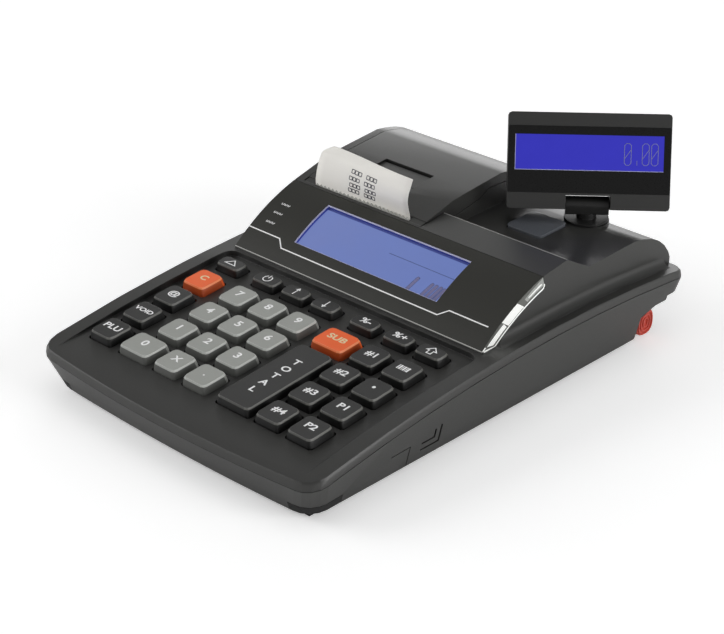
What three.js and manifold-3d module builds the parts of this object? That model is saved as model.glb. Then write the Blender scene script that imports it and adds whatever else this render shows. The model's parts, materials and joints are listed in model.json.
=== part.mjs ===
// Portable ticket register: sloping keyboard, curved display panel, receipt printer under
// a hinged cover and a customer display on a swivelling post.
// Millimetres, +X to the operator's right, +Y away from the operator, +Z up.
// Lengths along Y are measured from the front corner of the housing seam.

import * as THREE from 'three';
import { mergeVertices } from 'three/addons/utils/BufferGeometryUtils.js';
import Module from 'manifold-3d';

const wasm = await Module();
wasm.setup();

// Driving sizes of the body
const bodyDepth = 231.1;
const frontBow = 4.1;
const frontCornerRadius = 9;
const rearCornerRadius = 6;
const footDrop = 1.5;
const rimApexHeight = 33.7;
const rimApexY = 147.9;
const rimRadius = 806;
const rimBand = 3.5;
const rimInset = 1;
const rimEdge = 1;
const baseSideInset = 6;
const baseFrontInset = 4.3;
const baseBow = 2.4;
const baseEdge = 1.2;
const housingWall = 2.5;
const seatGap = 0.3;
const runningGap = 0.4;
const overrun = 40;

// Driving sizes of the hood
const hoodLedge = 9.1;
const hoodSideWall = 4;
const hoodFilletRadius = 4;
const panelFootY = 103.2;
const panelFootHeight = 33.2;
const panelTopY = 140.6;
const panelTopHeight = 53.8;
const panelRadius = 98.6;
const crestY = 156.4;
const crestHeight = 55.9;
const deckFrontY = 171.1;
const deckFrontHeight = 47.8;
const deckRearY = 202.4;
const deckRearHeight = 48.6;
const hoodRearHeight = 30.3;
const hoodRearPullY = 225.4;
const hoodRearPullHeight = 46.5;

// Driving sizes of the printer bulge and its cover
const coverInset = 4.5;
const coverWidth = 66.6;
const bulgeRiseY = 162.3;
const bulgeRiseHeight = 59.6;
const bulgeShoulderY = 173.7;
const bulgeShoulderHeight = 60.9;
const bulgeTopY = 194.7;
const bulgeTopHeight = 62.9;
const bulgeRearPullY = 222;
const bulgeRearPullHeight = 60.5;
const slotFrontY = 142.4;
const coverFrontY = 145.6;
const coverWall = 2.2;
const skirtDepth = 3.6;
const skirtFrontHeight = 50;
const skirtBendY = 165.6;
const skirtBendHeight = 52.3;
const skirtStepY = 180.1;
const skirtStepHeight = 54.9;
const skirtRearY = 186.4;
const skirtRearHeight = 58.3;
const skirtTailY = 202;
const hingeY = 223.6;
const hingeHeight = 43.5;
const barrelRadius = 3;
const barrelEndInset = 7.4;
const pivotRadius = 1.3;
const pivotLength = 3;
const hingeWallY = 219.5;
const bulgeSideWall = 1.4;
const cheekWall = 5.7;
const gripWidth = 29.1;
const gripOffset = 34.9;
const gripFrontY = 158.5;
const gripRearY = 174.9;
const gripDepth = 3;

// Driving sizes of the paper path
const paperWidth = 56.6;
const paperOffset = 35.3;
const paperSideGap = 0.3;
const paperThickness = 0.3;
const platenRadius = 4.75;
const platenY = 149.2;
const platenDrop = 10.1;
const platenShaftRadius = 2;
const platenLugRadius = 4;
const platenLugWall = 1.3;
const gearModule = 0.7;
const platenTeeth = 14;
const driveTeeth = 28;
const gearFace = 2.4;
const driveShaftRadius = 1.5;
const gearRootShare = 1.25;
const gearTipShare = 0.9;
const toothRootShare = 0.3;
const toothTipShare = 0.09;
const binRadius = 21.5;
const binWall = 1.2;
const binSideWall = 1;
const binY = 180;
const binHeight = 31;
const binTop = 50;
const rollRadius = 17;
const coreRadius = 6;
const tearBarThickness = 0.6;
const tearToothCount = 24;
const tearToothHeight = 1.1;
const headThickness = 3.4;
const headRise = 2.4;
const shelfDrop = 23.5;
const shelfThickness = 1.2;
const mechanismFloor = 3;
const mechanismRearY = 156.5;
const motorWidth = 22;
const motorDrop = 8;
const cheekDrop = 6;
const receiptTail = 5;
const receiptBendRise = 9.5;
const receiptPullRise = 16.3;
const receiptRise = 26.6;
const receiptBelly = 3.7;
const receiptLean = 1.5;

// Driving sizes of the keyboard
const deckSlope = 5.4;
const keyRowY = 23.1;
const keyTopHeight = 26.25;
const keyStand = 3.74;
const deckWall = 2;
const wellEdge = 8.2;
const wellRearY = 101.6;
const wellCornerRadius = 5;
const wellFrontY = -10;
const firstColumnInset = 11.9;
const lastColumnInset = 16.8;
const editColumnGap = 22.6;
const digitPitch = 17.7;
const totalColumnGap = 22.9;
const departmentGap = 19.1;
const paymentGap = 17.5;
const rowPitch = 17.1;
const keySize = 13;
const keyFlare = 1.1;
const keyEdge = 0.8;
const keyCornerRadius = 2;
const keyGap = 0.3;
const keyTravel = 2.5;
const flangeOverhang = 0.8;
const flangeThickness = 1;
const zeroKeyWidth = 16.8;
const subtotalKeyWidth = 17;
const totalKeyWidth = 18.2;
const totalKeyLength = 47.4;
const functionKeyWidth = 13.3;
const functionKeyLength = 7.3;
const matThickness = 1;
const domeRadius = 3.5;
const domeHeight = 1.1;
const boardThickness = 1.6;
const boardMargin = 4;
const postRadius = 3;
const postInset = 11;

// Driving sizes of the display panel
const panelThickness = 1.8;
const panelFlange = 5.6;
const lcdOffset = -1.5;
const lcdWidth = 82.4;
const lcdFrontY = 112.4;
const lcdRearY = 134;
const lcdThickness = 3.6;
const lcdFrameMargin = 2.4;
const lcdFrameThickness = 2.4;

// Driving sizes of the customer display
const postX = 42.1;
const postY = 207.7;
const turretRadius = 10.2;
const turretHeight = 48.4;
const discRadius = 9.8;
const discThickness = 1;
const stemRadius = 4.4;
const knuckleWidth = 18.9;
const knuckleDrop = 3.4;
const knuckleRadius = 3.6;
const tiltAxisHeight = 55.4;
const displayWidth = 70.5;
const displayHeight = 41.9;
const displayDepth = 13;
const displayDrop = 2.2;
const displayPinRadius = 1.4;
const displayPinLength = 2;
const displaySwivel = 40.8;
const displayTilt = 21.7;
const displayBezelDepth = 5;
const displayWall = 1.6;
const displayCornerRadius = 1.5;
const topBand = 5.9;
const bottomBand = 7.1;
const sideBand = 1.2;
const windowThickness = 1.2;
const windowInset = 0.5;
const customerLcdWidth = 64;
const customerLcdHeight = 15.3;
const customerLcdThickness = 3;
const customerLcdTopGap = 9.6;
const customerScreenLip = 1.6;

// Driving sizes of the badge, the seal plug, the underside and the rear recess
const badgeSize = 19.2;
const badgeX = 30.9;
const badgeY = 187.2;
const badgeCornerRadius = 2.4;
const badgeThickness = 1.6;
const badgeRecess = 0.8;
const recessY = 203.2;
const recessHeight = 17;
const recessLeadHeight = 14;
const recessLead = 9;
const recessStepY = 220;
const recessStep = 2.3;
const portBayX = 32;
const portBayWidth = 44;
const portBayHeight = 7.5;
const portBayDepth = 7;
const portBayFloor = 4.5;
const plugRadius = 2.4;
const plugDepth = 3;
const plugX = 71.5;
const plugHeight = 8.2;
const tabX = 74.3;
const tabY = 210.5;
const tabThickness = 3;
const tabLength = 11;
const tabHeight = 12;
const tabRidge = 0.6;
const tabRoundShare = 0.4;
const tabRidgeInsets = [0.5, 2.1, 3.7];
const spindleRadius = 3;
const spindleLength = 8;
const batteryX = 27;
const batteryY = 30;
const batteryWidth = 54;
const batteryLength = 32;
const batteryThickness = 6;
const batteryDoorMargin = 3;
const doorThickness = 2;
const padLength = 16.5;
const padStartY = 3.6;
const padReach = 10;
const padRise = 4.9;
const rearFootWidth = 120;
const rearFootLength = 8;
const rearFootY = 190;
const rearFootSink = 1;

// Grooves in the right wall of the lower housing
const grooveDepth = 0.8;
const grooveWidth = 1;
const outerGrooveY = 74.2;
const outerGrooveLength = 11;
const outerGrooveTop = 15.6;
const outerGrooveBottom = 6.8;
const innerGrooveOffset = 3.2;
const hatchRearY = 56.4;
const hatchLength = 11.3;
const hatchTop = 12.6;
const hatchLine = 0.5;

// Finishes
const finishes = {
  housing: { color: 0x3b3c3a, roughness: 0.55, metalness: 0 },
  darkKey: { color: 0x262625, roughness: 0.5, metalness: 0 },
  greyKey: { color: 0x8d918a, roughness: 0.5, metalness: 0 },
  orangeKey: { color: 0xe2582a, roughness: 0.5, metalness: 0 },
  panel: { color: 0x22221f, roughness: 0.15, metalness: 0 },
  lcd: { color: 0x6f80c4, roughness: 0.2, metalness: 0 },
  blueLcd: { color: 0x3333b3, roughness: 0.2, metalness: 0 },
  gloss: { color: 0x151515, roughness: 0.12, metalness: 0 },
  paper: { color: 0xe9e7df, roughness: 0.9, metalness: 0 },
  rubber: { color: 0x1b1b1b, roughness: 0.85, metalness: 0 },
  steel: { color: 0xb9bcc0, roughness: 0.3, metalness: 1 },
  nylon: { color: 0xd9d6cb, roughness: 0.6, metalness: 0 },
  seal: { color: 0xc8503f, roughness: 0.45, metalness: 0 },
  badge: { color: 0x5b5e66, roughness: 0.3, metalness: 0 },
  board: { color: 0x1f5a36, roughness: 0.5, metalness: 0 },
  battery: { color: 0x5577a0, roughness: 0.5, metalness: 0 },
};

// Derived places
const columnGaps = [editColumnGap, digitPitch, digitPitch, totalColumnGap, departmentGap, paymentGap];
const columnSpan = columnGaps.reduce((sum, gap) => sum + gap);
const wellWidth = firstColumnInset + columnSpan + lastColumnInset;
const bodyWidth = wellWidth + 2 * wellEdge;
const bodyHalf = bodyWidth / 2;
const hoodHalf = bodyHalf - hoodLedge;
const firstColumnX = firstColumnInset - wellWidth / 2;
const coverLeftX = coverInset - hoodHalf;
const stepX = coverLeftX + coverWidth;
const gripCentreX = coverLeftX + gripOffset;
const paperCentreX = coverLeftX + paperOffset;
const slope = THREE.MathUtils.degToRad(deckSlope);
const paperLeftX = paperCentreX - paperWidth / 2;
const paperRightX = paperCentreX + paperWidth / 2;
const gearDistance = gearModule * (platenTeeth + driveTeeth) / 2;

const bowSegments = 8;
const cornerSegments = 4;
const sideSegments = 6;
const curveSegments = 12;
const roundSegments = 24;
const smallRoundSegments = 16;
const keyCornerSteps = 2;
const domeSegments = 8;
const tabSteps = 3;

const unitX = new THREE.Vector3(1, 0, 0);
const unitY = new THREE.Vector3(0, 1, 0);
const unitZ = new THREE.Vector3(0, 0, 1);

// Height of the arched rim, and of the seam below it
function rimHeight(y) {
  return rimApexHeight - rimRadius + Math.sqrt(rimRadius ** 2 - (y - rimApexY) ** 2);
}

function seamHeight(y) {
  return rimHeight(y) - rimBand;
}

// Solid tools
function solidOf(geometry) {
  const bare = geometry.clone();
  bare.deleteAttribute('normal');
  bare.deleteAttribute('uv');
  const merged = mergeVertices(bare, 1e-4);
  const corners = merged.index.array;
  const kept = [];
  for (let i = 0; i < corners.length; i += 3) {
    const [a, b, c] = [corners[i], corners[i + 1], corners[i + 2]];
    if (a !== b && b !== c && c !== a) kept.push(a, b, c);
  }
  return new wasm.Manifold(new wasm.Mesh({
    numProp: 3,
    vertProperties: new Float32Array(merged.attributes.position.array),
    triVerts: new Uint32Array(kept),
  }));
}

function geometryOf(solid) {
  const mesh = solid.getMesh();
  const geometry = new THREE.BufferGeometry();
  geometry.setAttribute('position', new THREE.BufferAttribute(mesh.vertProperties, 3));
  geometry.setIndex(new THREE.BufferAttribute(mesh.triVerts, 1));
  geometry.computeVertexNormals();
  return geometry;
}

function join(solids) {
  return solids.reduce((whole, next) => whole.add(next));
}

function cut(solid, tools) {
  return tools.reduce((whole, tool) => whole.subtract(tool), solid);
}

// A prism along X whose outline is given as [y, z] points
function prismX(points, x0, x1) {
  const shape = new THREE.Shape(points.map(([y, z]) => new THREE.Vector2(y, z)));
  const geometry = new THREE.ExtrudeGeometry(shape, { depth: x1 - x0, bevelEnabled: false });
  geometry.applyMatrix4(new THREE.Matrix4().makeBasis(unitY, unitZ, unitX).setPosition(x0, 0, 0));
  return solidOf(geometry);
}

// A prism along Z whose outline is given as [x, y] points
function prismZ(points, z0, z1, matrix) {
  const shape = new THREE.Shape(points.map(([x, y]) => new THREE.Vector2(x, y)));
  const geometry = new THREE.ExtrudeGeometry(shape, { depth: z1 - z0, bevelEnabled: false });
  geometry.translate(0, 0, z0);
  if (matrix) geometry.applyMatrix4(matrix);
  return solidOf(geometry);
}

function block(x0, x1, y0, y1, z0, z1, matrix) {
  const geometry = new THREE.BoxGeometry(x1 - x0, y1 - y0, z1 - z0);
  geometry.translate((x0 + x1) / 2, (y0 + y1) / 2, (z0 + z1) / 2);
  if (matrix) geometry.applyMatrix4(matrix);
  return solidOf(geometry);
}

function cylinderZ(x, y, radius, z0, z1, segments = roundSegments) {
  const geometry = new THREE.CylinderGeometry(radius, radius, z1 - z0, segments);
  geometry.rotateX(Math.PI / 2);
  geometry.translate(x, y, (z0 + z1) / 2);
  return solidOf(geometry);
}

function cylinderX(y, z, radius, x0, x1, segments = roundSegments) {
  const geometry = new THREE.CylinderGeometry(radius, radius, x1 - x0, segments);
  geometry.rotateZ(Math.PI / 2);
  geometry.translate((x0 + x1) / 2, y, z);
  return solidOf(geometry);
}

function cylinderY(x, z, radius, y0, y1, segments = smallRoundSegments) {
  const geometry = new THREE.CylinderGeometry(radius, radius, y1 - y0, segments);
  geometry.translate(x, (y0 + y1) / 2, z);
  return solidOf(geometry);
}

// A closed skin through rings of equal point counts, lowest ring first
function loft(rings) {
  const count = rings[0].length;
  const positions = rings.flat().flatMap((point) => point.toArray());
  const index = [];
  for (let r = 0; r + 1 < rings.length; r += 1) {
    for (let i = 0; i < count; i += 1) {
      const a = r * count + i;
      const b = r * count + (i + 1) % count;
      index.push(a, b, b + count, a, b + count, a + count);
    }
  }
  const top = (rings.length - 1) * count;
  for (let i = 1; i + 1 < count; i += 1) {
    index.push(0, i + 1, i);
    index.push(top, top + i, top + i + 1);
  }
  const geometry = new THREE.BufferGeometry();
  geometry.setAttribute('position', new THREE.Float32BufferAttribute(positions, 3));
  geometry.setIndex(index);
  return geometry;
}

// The housing's outline from above: bowed front, straight sides, rounded corners
function bodyOutline({ half, front, rear, bow }) {
  const right = [];
  const bowX = half - frontCornerRadius;
  for (let i = 0; i <= bowSegments; i += 1) {
    const x = bowX * i / bowSegments;
    right.push([x, front - bow * (1 - (x / half) ** 2)]);
  }
  const cornerY = right[bowSegments][1] + frontCornerRadius;
  for (let i = 1; i <= cornerSegments; i += 1) {
    const angle = Math.PI / 2 * (i / cornerSegments - 1);
    right.push([bowX + frontCornerRadius * Math.cos(angle), cornerY + frontCornerRadius * Math.sin(angle)]);
  }
  const rearY = rear - rearCornerRadius;
  for (let i = 1; i <= sideSegments; i += 1) {
    right.push([half, cornerY + (rearY - cornerY) * i / sideSegments]);
  }
  for (let i = 1; i <= cornerSegments; i += 1) {
    const angle = Math.PI / 2 * i / cornerSegments;
    right.push([half - rearCornerRadius * (1 - Math.cos(angle)), rearY + rearCornerRadius * Math.sin(angle)]);
  }
  const left = right.slice(1).reverse().map(([x, y]) => [-x, y]);
  return [...right, ...left];
}

function ring(outline, heightAt) {
  return outline.map(([x, y]) => new THREE.Vector3(x, y, heightAt(y)));
}

// Outlines of the body at the seam and at the base, drawn in by an inset
function seamOutline(inset) {
  return bodyOutline({ half: bodyHalf - inset, front: inset, rear: bodyDepth - inset, bow: frontBow });
}

function baseOutline(inset) {
  return bodyOutline({
    half: bodyHalf - baseSideInset - inset,
    front: baseFrontInset + inset,
    rear: bodyDepth - baseFrontInset - inset,
    bow: baseBow,
  });
}

// Points along a circular arc that bulges up from one [y, z] point to another
function archPoints(start, end, radius, segments) {
  const from = new THREE.Vector2(...start);
  const to = new THREE.Vector2(...end);
  const chord = to.clone().sub(from);
  const rise = Math.sqrt(radius ** 2 - chord.lengthSq() / 4);
  const normal = new THREE.Vector2(chord.y, -chord.x).normalize();
  const centre = from.clone().add(to).multiplyScalar(1 / 2).addScaledVector(normal, rise);
  const first = from.clone().sub(centre).angle();
  const last = to.clone().sub(centre).angle();
  return Array.from({ length: segments + 1 }, (_, i) => {
    const angle = first + (last - first) * i / segments;
    return [centre.x + radius * Math.cos(angle), centre.y + radius * Math.sin(angle)];
  });
}

function bendPoints(start, pull, end, segments) {
  const curve = new THREE.QuadraticBezierCurve(
    new THREE.Vector2(...start),
    new THREE.Vector2(...pull),
    new THREE.Vector2(...end),
  );
  return curve.getPoints(segments).map((point) => point.toArray());
}

// A polyline of [y, z] points moved sideways; a positive distance moves it down
function offsetPoints(points, distance) {
  return points.map((point, i) => {
    const before = points[Math.max(i - 1, 0)];
    const after = points[Math.min(i + 1, points.length - 1)];
    const along = new THREE.Vector2(after[0] - before[0], after[1] - before[1]).normalize();
    return [point[0] + along.y * distance, point[1] - along.x * distance];
  });
}

// The same polyline with its last segment drawn on by a distance
function extended(points, distance) {
  const [before, last] = points.slice(-2).map((point) => new THREE.Vector2(...point));
  const along = last.clone().sub(before).normalize();
  return [...points.slice(0, -1), last.addScaledVector(along, distance).toArray()];
}

function curveOver(heightAt, y0, y1) {
  return Array.from({ length: curveSegments + 1 }, (_, i) => {
    const y = y0 + (y1 - y0) * i / curveSegments;
    return [y, heightAt(y)];
  });
}

// Side profiles, as [y, z] points
function heightAlong(curve, y) {
  const i = curve.findIndex((point, j) => point[0] <= y && curve[j + 1][0] >= y);
  const [[y0, z0], [y1, z1]] = [curve[i], curve[i + 1]];
  return z0 + (z1 - z0) * (y - y0) / (y1 - y0);
}

const panelCurve = archPoints(
  [panelFootY, panelFootHeight],
  [panelTopY, panelTopHeight],
  panelRadius,
  curveSegments,
);
const rearDeckCurve = [
  [crestY, crestHeight],
  [deckFrontY, deckFrontHeight],
  ...bendPoints(
    [deckRearY, deckRearHeight],
    [hoodRearPullY, hoodRearPullHeight],
    [bodyDepth, hoodRearHeight],
    curveSegments / 2,
  ),
];
const hoodCurve = [...panelCurve, ...rearDeckCurve];
const bulgeCurve = [
  [panelTopY, panelTopHeight],
  [bulgeRiseY, bulgeRiseHeight],
  [bulgeShoulderY, bulgeShoulderHeight],
  ...bendPoints(
    [bulgeTopY, bulgeTopHeight],
    [bulgeRearPullY, bulgeRearPullHeight],
    [hingeY + barrelRadius, hingeHeight],
    curveSegments,
  ),
];
const coverCurve = [
  [coverFrontY, heightAlong(bulgeCurve, coverFrontY)],
  ...bulgeCurve.slice(1),
];
const platenHeight = heightAlong(coverCurve, platenY) - platenDrop;
const headTop = platenHeight + headRise;
const shelfHeight = platenHeight - shelfDrop;
const motorTop = platenHeight - motorDrop;
const cheekTop = platenHeight - cheekDrop;
const skirtCurve = [
  [coverFrontY, skirtFrontHeight],
  [skirtBendY, skirtBendHeight],
  [skirtStepY, skirtStepHeight],
  [skirtRearY, skirtRearHeight],
  ...offsetPoints(coverCurve, skirtDepth).filter(([y]) => y > skirtTailY && y < hingeY - barrelRadius),
  [hingeY - barrelRadius, hingeHeight],
];

function belowCurve(curve, x0, x1) {
  const base = [[curve.at(-1)[0], -overrun], [curve[0][0], -overrun]];
  return prismX([...curve, ...base], x0, x1);
}

function aboveCurve(curve, x0, x1) {
  const top = bulgeTopHeight + overrun;
  return prismX([...curve, [curve.at(-1)[0], top], [curve[0][0], top]], x0, x1);
}

function besideCurves(upper, lower, x0, x1) {
  return prismX([...upper, ...lower.toReversed()], x0, x1);
}

// The sloping keyboard frame: x across, y up the slope, z square to the key tops
const deckMatrix = new THREE.Matrix4()
  .makeRotationX(slope)
  .setPosition(0, keyRowY, keyTopHeight);
const columnXs = columnGaps.reduce((xs, gap) => [...xs, xs.at(-1) + gap], [firstColumnX]);

// Key names by column, front row first
const keyColumns = [
  ['lookup', 'void', 'price', 'clear'],
  ['0', '1', '4', '7'],
  ['multiply', '2', '5', '8'],
  ['point', '3', '6', '9'],
  ['total', null, null, 'subtotal'],
  ['department_4', 'department_3', 'department_2', 'department_1'],
  ['pay_2', 'pay_1', 'dot', 'barcode'],
];
const functionRow = ['feed', 'power', 'up', 'down', 'percent_minus', 'percent_plus', 'shift'];
const greyColumns = [1, 2, 3];
const orangeKeys = ['clear', 'subtotal'];

function keyFinish(name, column) {
  if (orangeKeys.includes(name)) return 'orangeKey';
  return greyColumns.includes(column) ? 'greyKey' : 'darkKey';
}

// Where a key stands on the slope, and how large its top is
function keyPlace(name, column, row) {
  const x = columnXs[column];
  const v = rowPitch * row;
  const finish = keyFinish(name, column);
  const place = { name, x, v, width: keySize, length: keySize, finish };
  if (name === '0') Object.assign(place, { width: zeroKeyWidth, x: x - (zeroKeyWidth - keySize) / 2 });
  if (name === 'subtotal') Object.assign(place, { width: subtotalKeyWidth });
  if (name === 'total') Object.assign(place, { width: totalKeyWidth, length: totalKeyLength, v: rowPitch });
  return place;
}

function functionKeyPlace(name, column) {
  const v = rowPitch * keyColumns[0].length;
  return { name, x: columnXs[column], v, width: functionKeyWidth, length: functionKeyLength, finish: 'darkKey' };
}

const keys = [
  ...keyColumns.flatMap((names, column) => names.map((name, row) => name && keyPlace(name, column, row))),
  ...functionRow.map(functionKeyPlace),
].filter(Boolean);

function roundedRectangle(width, length, radius, steps) {
  const corners = [[1, -1], [1, 1], [-1, 1], [-1, -1]];
  return corners.flatMap(([sx, sy], quarter) => Array.from({ length: steps + 1 }, (_, i) => {
    const angle = Math.PI / 2 * (quarter - 1 + i / steps);
    return [
      sx * (width / 2 - radius) + radius * Math.cos(angle),
      sy * (length / 2 - radius) + radius * Math.sin(angle),
    ];
  }));
}

function shifted(points, dx, dy) {
  return points.map(([x, y]) => [x + dx, y + dy]);
}

function level(points, z) {
  return points.map(([x, y]) => new THREE.Vector3(x, y, z));
}

// A key: flared cap with a softened top edge, on a flange that holds it under the deck
const flangeTop = -keyStand - deckWall - keyGap;
const flangeBottom = flangeTop - flangeThickness;

function keyGeometry({ width, length }) {
  const outline = (grow) => roundedRectangle(width + grow, length + grow, keyCornerRadius, keyCornerSteps);
  const flange = outline(keyFlare + 2 * flangeOverhang);
  return loft([
    level(flange, flangeBottom),
    level(flange, flangeTop),
    level(outline(keyFlare), flangeTop),
    level(outline(keyFlare), -keyStand),
    level(outline(0), -keyEdge),
    level(outline(-keyEdge), 0),
  ]);
}

function keyHole({ x, v, width, length }) {
  const room = keyFlare + 2 * keyGap;
  const outline = roundedRectangle(width + room, length + room, keyCornerRadius / 2, 1);
  return prismZ(shifted(outline, x, v), flangeBottom, overrun, deckMatrix);
}

// The board and the rubber mat share one outline under the deck
const matTop = flangeBottom - keyTravel - keyGap - domeHeight;
const boardTop = matTop - matThickness - seatGap;
const boardHalf = wellWidth / 2 - boardMargin;
const boardFront = -keySize / 2 - boardMargin;
const boardRear = rowPitch * keyColumns[0].length + functionKeyLength / 2 + boardMargin;

function keyMat() {
  const plate = block(-boardHalf, boardHalf, boardFront, boardRear, matTop - matThickness, matTop);
  const domes = keys.map(({ x, v }) => {
    const dome = new THREE.CylinderGeometry(domeRadius / 2, domeRadius, domeHeight + seatGap, domeSegments);
    dome.rotateX(Math.PI / 2);
    dome.translate(x, v, matTop + (domeHeight - seatGap) / 2);
    return solidOf(dome);
  });
  return join([plate, ...domes]);
}

function mainBoard() {
  return block(-boardHalf, boardHalf, boardFront, boardRear, boardTop - boardThickness, boardTop);
}

// Lower housing: a tapered tub between the base outline and the seam
const flat = (height) => () => height;

function lowerOuter(inset) {
  return solidOf(loft([
    ring(baseOutline(baseEdge + inset), flat(footDrop)),
    ring(baseOutline(inset), flat(footDrop + baseEdge)),
    ring(seamOutline(inset), seamHeight),
    ring(seamOutline(inset), flat(rimApexHeight + overrun)),
  ]));
}

function lowerCavity() {
  return solidOf(loft([
    ring(baseOutline(housingWall), flat(footDrop + housingWall)),
    ring(seamOutline(housingWall), seamHeight),
    ring(seamOutline(housingWall), flat(rimApexHeight + 2 * overrun)),
  ]));
}

// The stepped hollow under the rear edge, where the cables plug in
function rearRecess(grow) {
  return prismX([
    [recessY - grow, -overrun],
    [recessY - grow, recessLeadHeight + grow],
    [recessY + recessLead - grow, recessHeight + grow],
    [recessStepY - grow, recessHeight + grow],
    [recessStepY - grow, recessHeight + recessStep + grow],
    [bodyDepth + overrun, recessHeight + recessStep + grow],
    [bodyDepth + overrun, -overrun],
  ], -bodyWidth, bodyWidth);
}

function portBay(grow) {
  return block(
    portBayX - portBayWidth / 2 - grow,
    portBayX + portBayWidth / 2 + grow,
    recessY - portBayDepth - grow,
    recessY + overrun,
    footDrop + portBayFloor - grow,
    footDrop + portBayFloor + portBayHeight + grow,
  );
}

function plugSocket(grow) {
  return cylinderY(plugX, plugHeight, plugRadius + grow, recessY - plugDepth - grow, recessY + overrun);
}

// The corner that a wrap-round foot pad fills; side is 1 on the right and -1 on the left
function padCorner(side, grow) {
  const inner = bodyHalf - baseSideInset - padReach - grow;
  const [x0, x1] = side > 0 ? [inner, bodyWidth] : [-bodyWidth, -inner];
  const top = footDrop + padRise + grow;
  return block(x0, x1, -overrun, padStartY + padLength + grow, -overrun, top);
}

function rearFoot(grow) {
  return block(
    -rearFootWidth / 2 - grow,
    rearFootWidth / 2 + grow,
    rearFootY - rearFootLength / 2 - grow,
    rearFootY + rearFootLength / 2 + grow,
    0,
    footDrop + rearFootSink + grow,
  );
}

const doorHalf = batteryWidth / 2 + batteryDoorMargin;
const doorFrontY = batteryY - batteryLength / 2 - batteryDoorMargin;
const doorRearY = batteryY + batteryLength / 2 + batteryDoorMargin;

function batteryOpening() {
  return block(
    batteryX - doorHalf - seatGap,
    batteryX + doorHalf + seatGap,
    doorFrontY - seatGap,
    doorRearY + seatGap,
    -overrun,
    footDrop + housingWall + seatGap,
  );
}

// The nested corner marks and the hatch line, cut to an even depth in the tapered right wall
function cornerMark(rearY, top, length, bottom, width) {
  return prismX([
    [rearY, top],
    [rearY, bottom],
    [rearY - length, bottom],
    [rearY - length, bottom + width],
    [rearY - width, bottom + width],
    [rearY - width, top],
  ], 0, bodyWidth);
}

function hatchMark() {
  return prismX([
    [hatchRearY, 0],
    [hatchRearY, hatchTop],
    [hatchRearY - hatchLength, hatchTop],
    [hatchRearY - hatchLength, hatchTop - hatchLine],
    [hatchRearY - hatchLine, hatchTop - hatchLine],
    [hatchRearY - hatchLine, 0],
  ], 0, bodyWidth);
}

function sideGrooves() {
  const marks = join([
    cornerMark(outerGrooveY, outerGrooveTop, outerGrooveLength, outerGrooveBottom, grooveWidth),
    cornerMark(
      outerGrooveY - innerGrooveOffset,
      outerGrooveTop - grooveWidth,
      outerGrooveLength - innerGrooveOffset,
      outerGrooveBottom + innerGrooveOffset,
      grooveWidth,
    ),
    hatchMark(),
  ]);
  return marks.subtract(lowerOuter(grooveDepth));
}

function boardPosts() {
  const x = boardHalf - postInset;
  const ys = [keyRowY, wellRearY - postInset];
  const posts = [-x, x].flatMap((px) => ys
    .map((y) => cylinderZ(px, y, postRadius, footDrop + housingWall / 2, keyTopHeight, smallRoundSegments)));
  const underside = boardTop - boardThickness - seatGap;
  const above = block(-bodyWidth, bodyWidth, -bodyDepth, bodyDepth, underside, overrun, deckMatrix);
  return join(posts).subtract(above);
}

function lowerHousing() {
  const belowSeam = belowCurve(
    curveOver((y) => seamHeight(y) - seatGap / 2, -overrun, bodyDepth + overrun),
    -bodyWidth,
    bodyWidth,
  );
  const kept = [rearRecess(housingWall), portBay(housingWall), plugSocket(housingWall)];
  const pads = [padCorner(1, housingWall), padCorner(-1, housingWall)];
  const cavity = cut(lowerCavity(), [...kept, ...pads]);
  const shell = cut(lowerOuter(0).intersect(belowSeam), [cavity, sideGrooves()]);
  return cut(shell.add(boardPosts()), [
    rearRecess(0),
    portBay(0),
    plugSocket(seatGap),
    padCorner(1, seatGap),
    padCorner(-1, seatGap),
    rearFoot(seatGap),
    batteryOpening(),
  ]);
}

function cornerFoot(side) {
  const pad = lowerOuter(0).intersect(padCorner(side, 0));
  const inner = side * (bodyHalf - baseSideInset - padReach + baseEdge);
  const outer = side * (bodyHalf - baseSideInset - frontCornerRadius / 2);
  const sole = block(
    Math.min(inner, outer),
    Math.max(inner, outer),
    padStartY + frontCornerRadius / 2,
    padStartY + padLength - baseEdge,
    0,
    footDrop + baseEdge,
  );
  return pad.add(sole);
}

function batteryDoor() {
  const radius = doorThickness / 2;
  const axisY = doorRearY - radius;
  const middle = footDrop + radius;
  return block(batteryX - doorHalf, batteryX + doorHalf, doorFrontY, axisY, footDrop, footDrop + doorThickness)
    .add(cylinderX(axisY, middle, radius, batteryX - doorHalf, batteryX + doorHalf, smallRoundSegments));
}

function batteryPack() {
  const bottom = footDrop + doorThickness + seatGap;
  const outline = roundedRectangle(batteryWidth, batteryLength, batteryThickness / 2, keyCornerSteps);
  return prismZ(shifted(outline, batteryX, batteryY), bottom, bottom + batteryThickness);
}

function sealPlug() {
  const stud = cylinderY(plugX, plugHeight, plugRadius, recessY - plugDepth + seatGap, tabY);
  const tab = (inset, x0, x1) => {
    const [length, height] = [tabLength - 2 * inset, tabHeight - 2 * inset];
    const outline = roundedRectangle(length, height, length * tabRoundShare, tabSteps);
    return prismX(shifted(outline, tabY, plugHeight), x0, x1);
  };
  const face = tabX + tabThickness / 2;
  const ridges = tabRidgeInsets.map((inset) => tab(inset, face - tabRidge, face)
    .subtract(tab(inset + tabRidge, face - 2 * tabRidge, face + tabRidge)));
  return join([stud, tab(0, tabX - tabThickness / 2, face - tabRidge), ...ridges]);
}

// Upper housing: arched rim, keyboard well, hood and printer bulge
const rimClear = (drop) => curveOver((y) => rimHeight(y) - drop, -overrun, bodyDepth + overrun);

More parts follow.
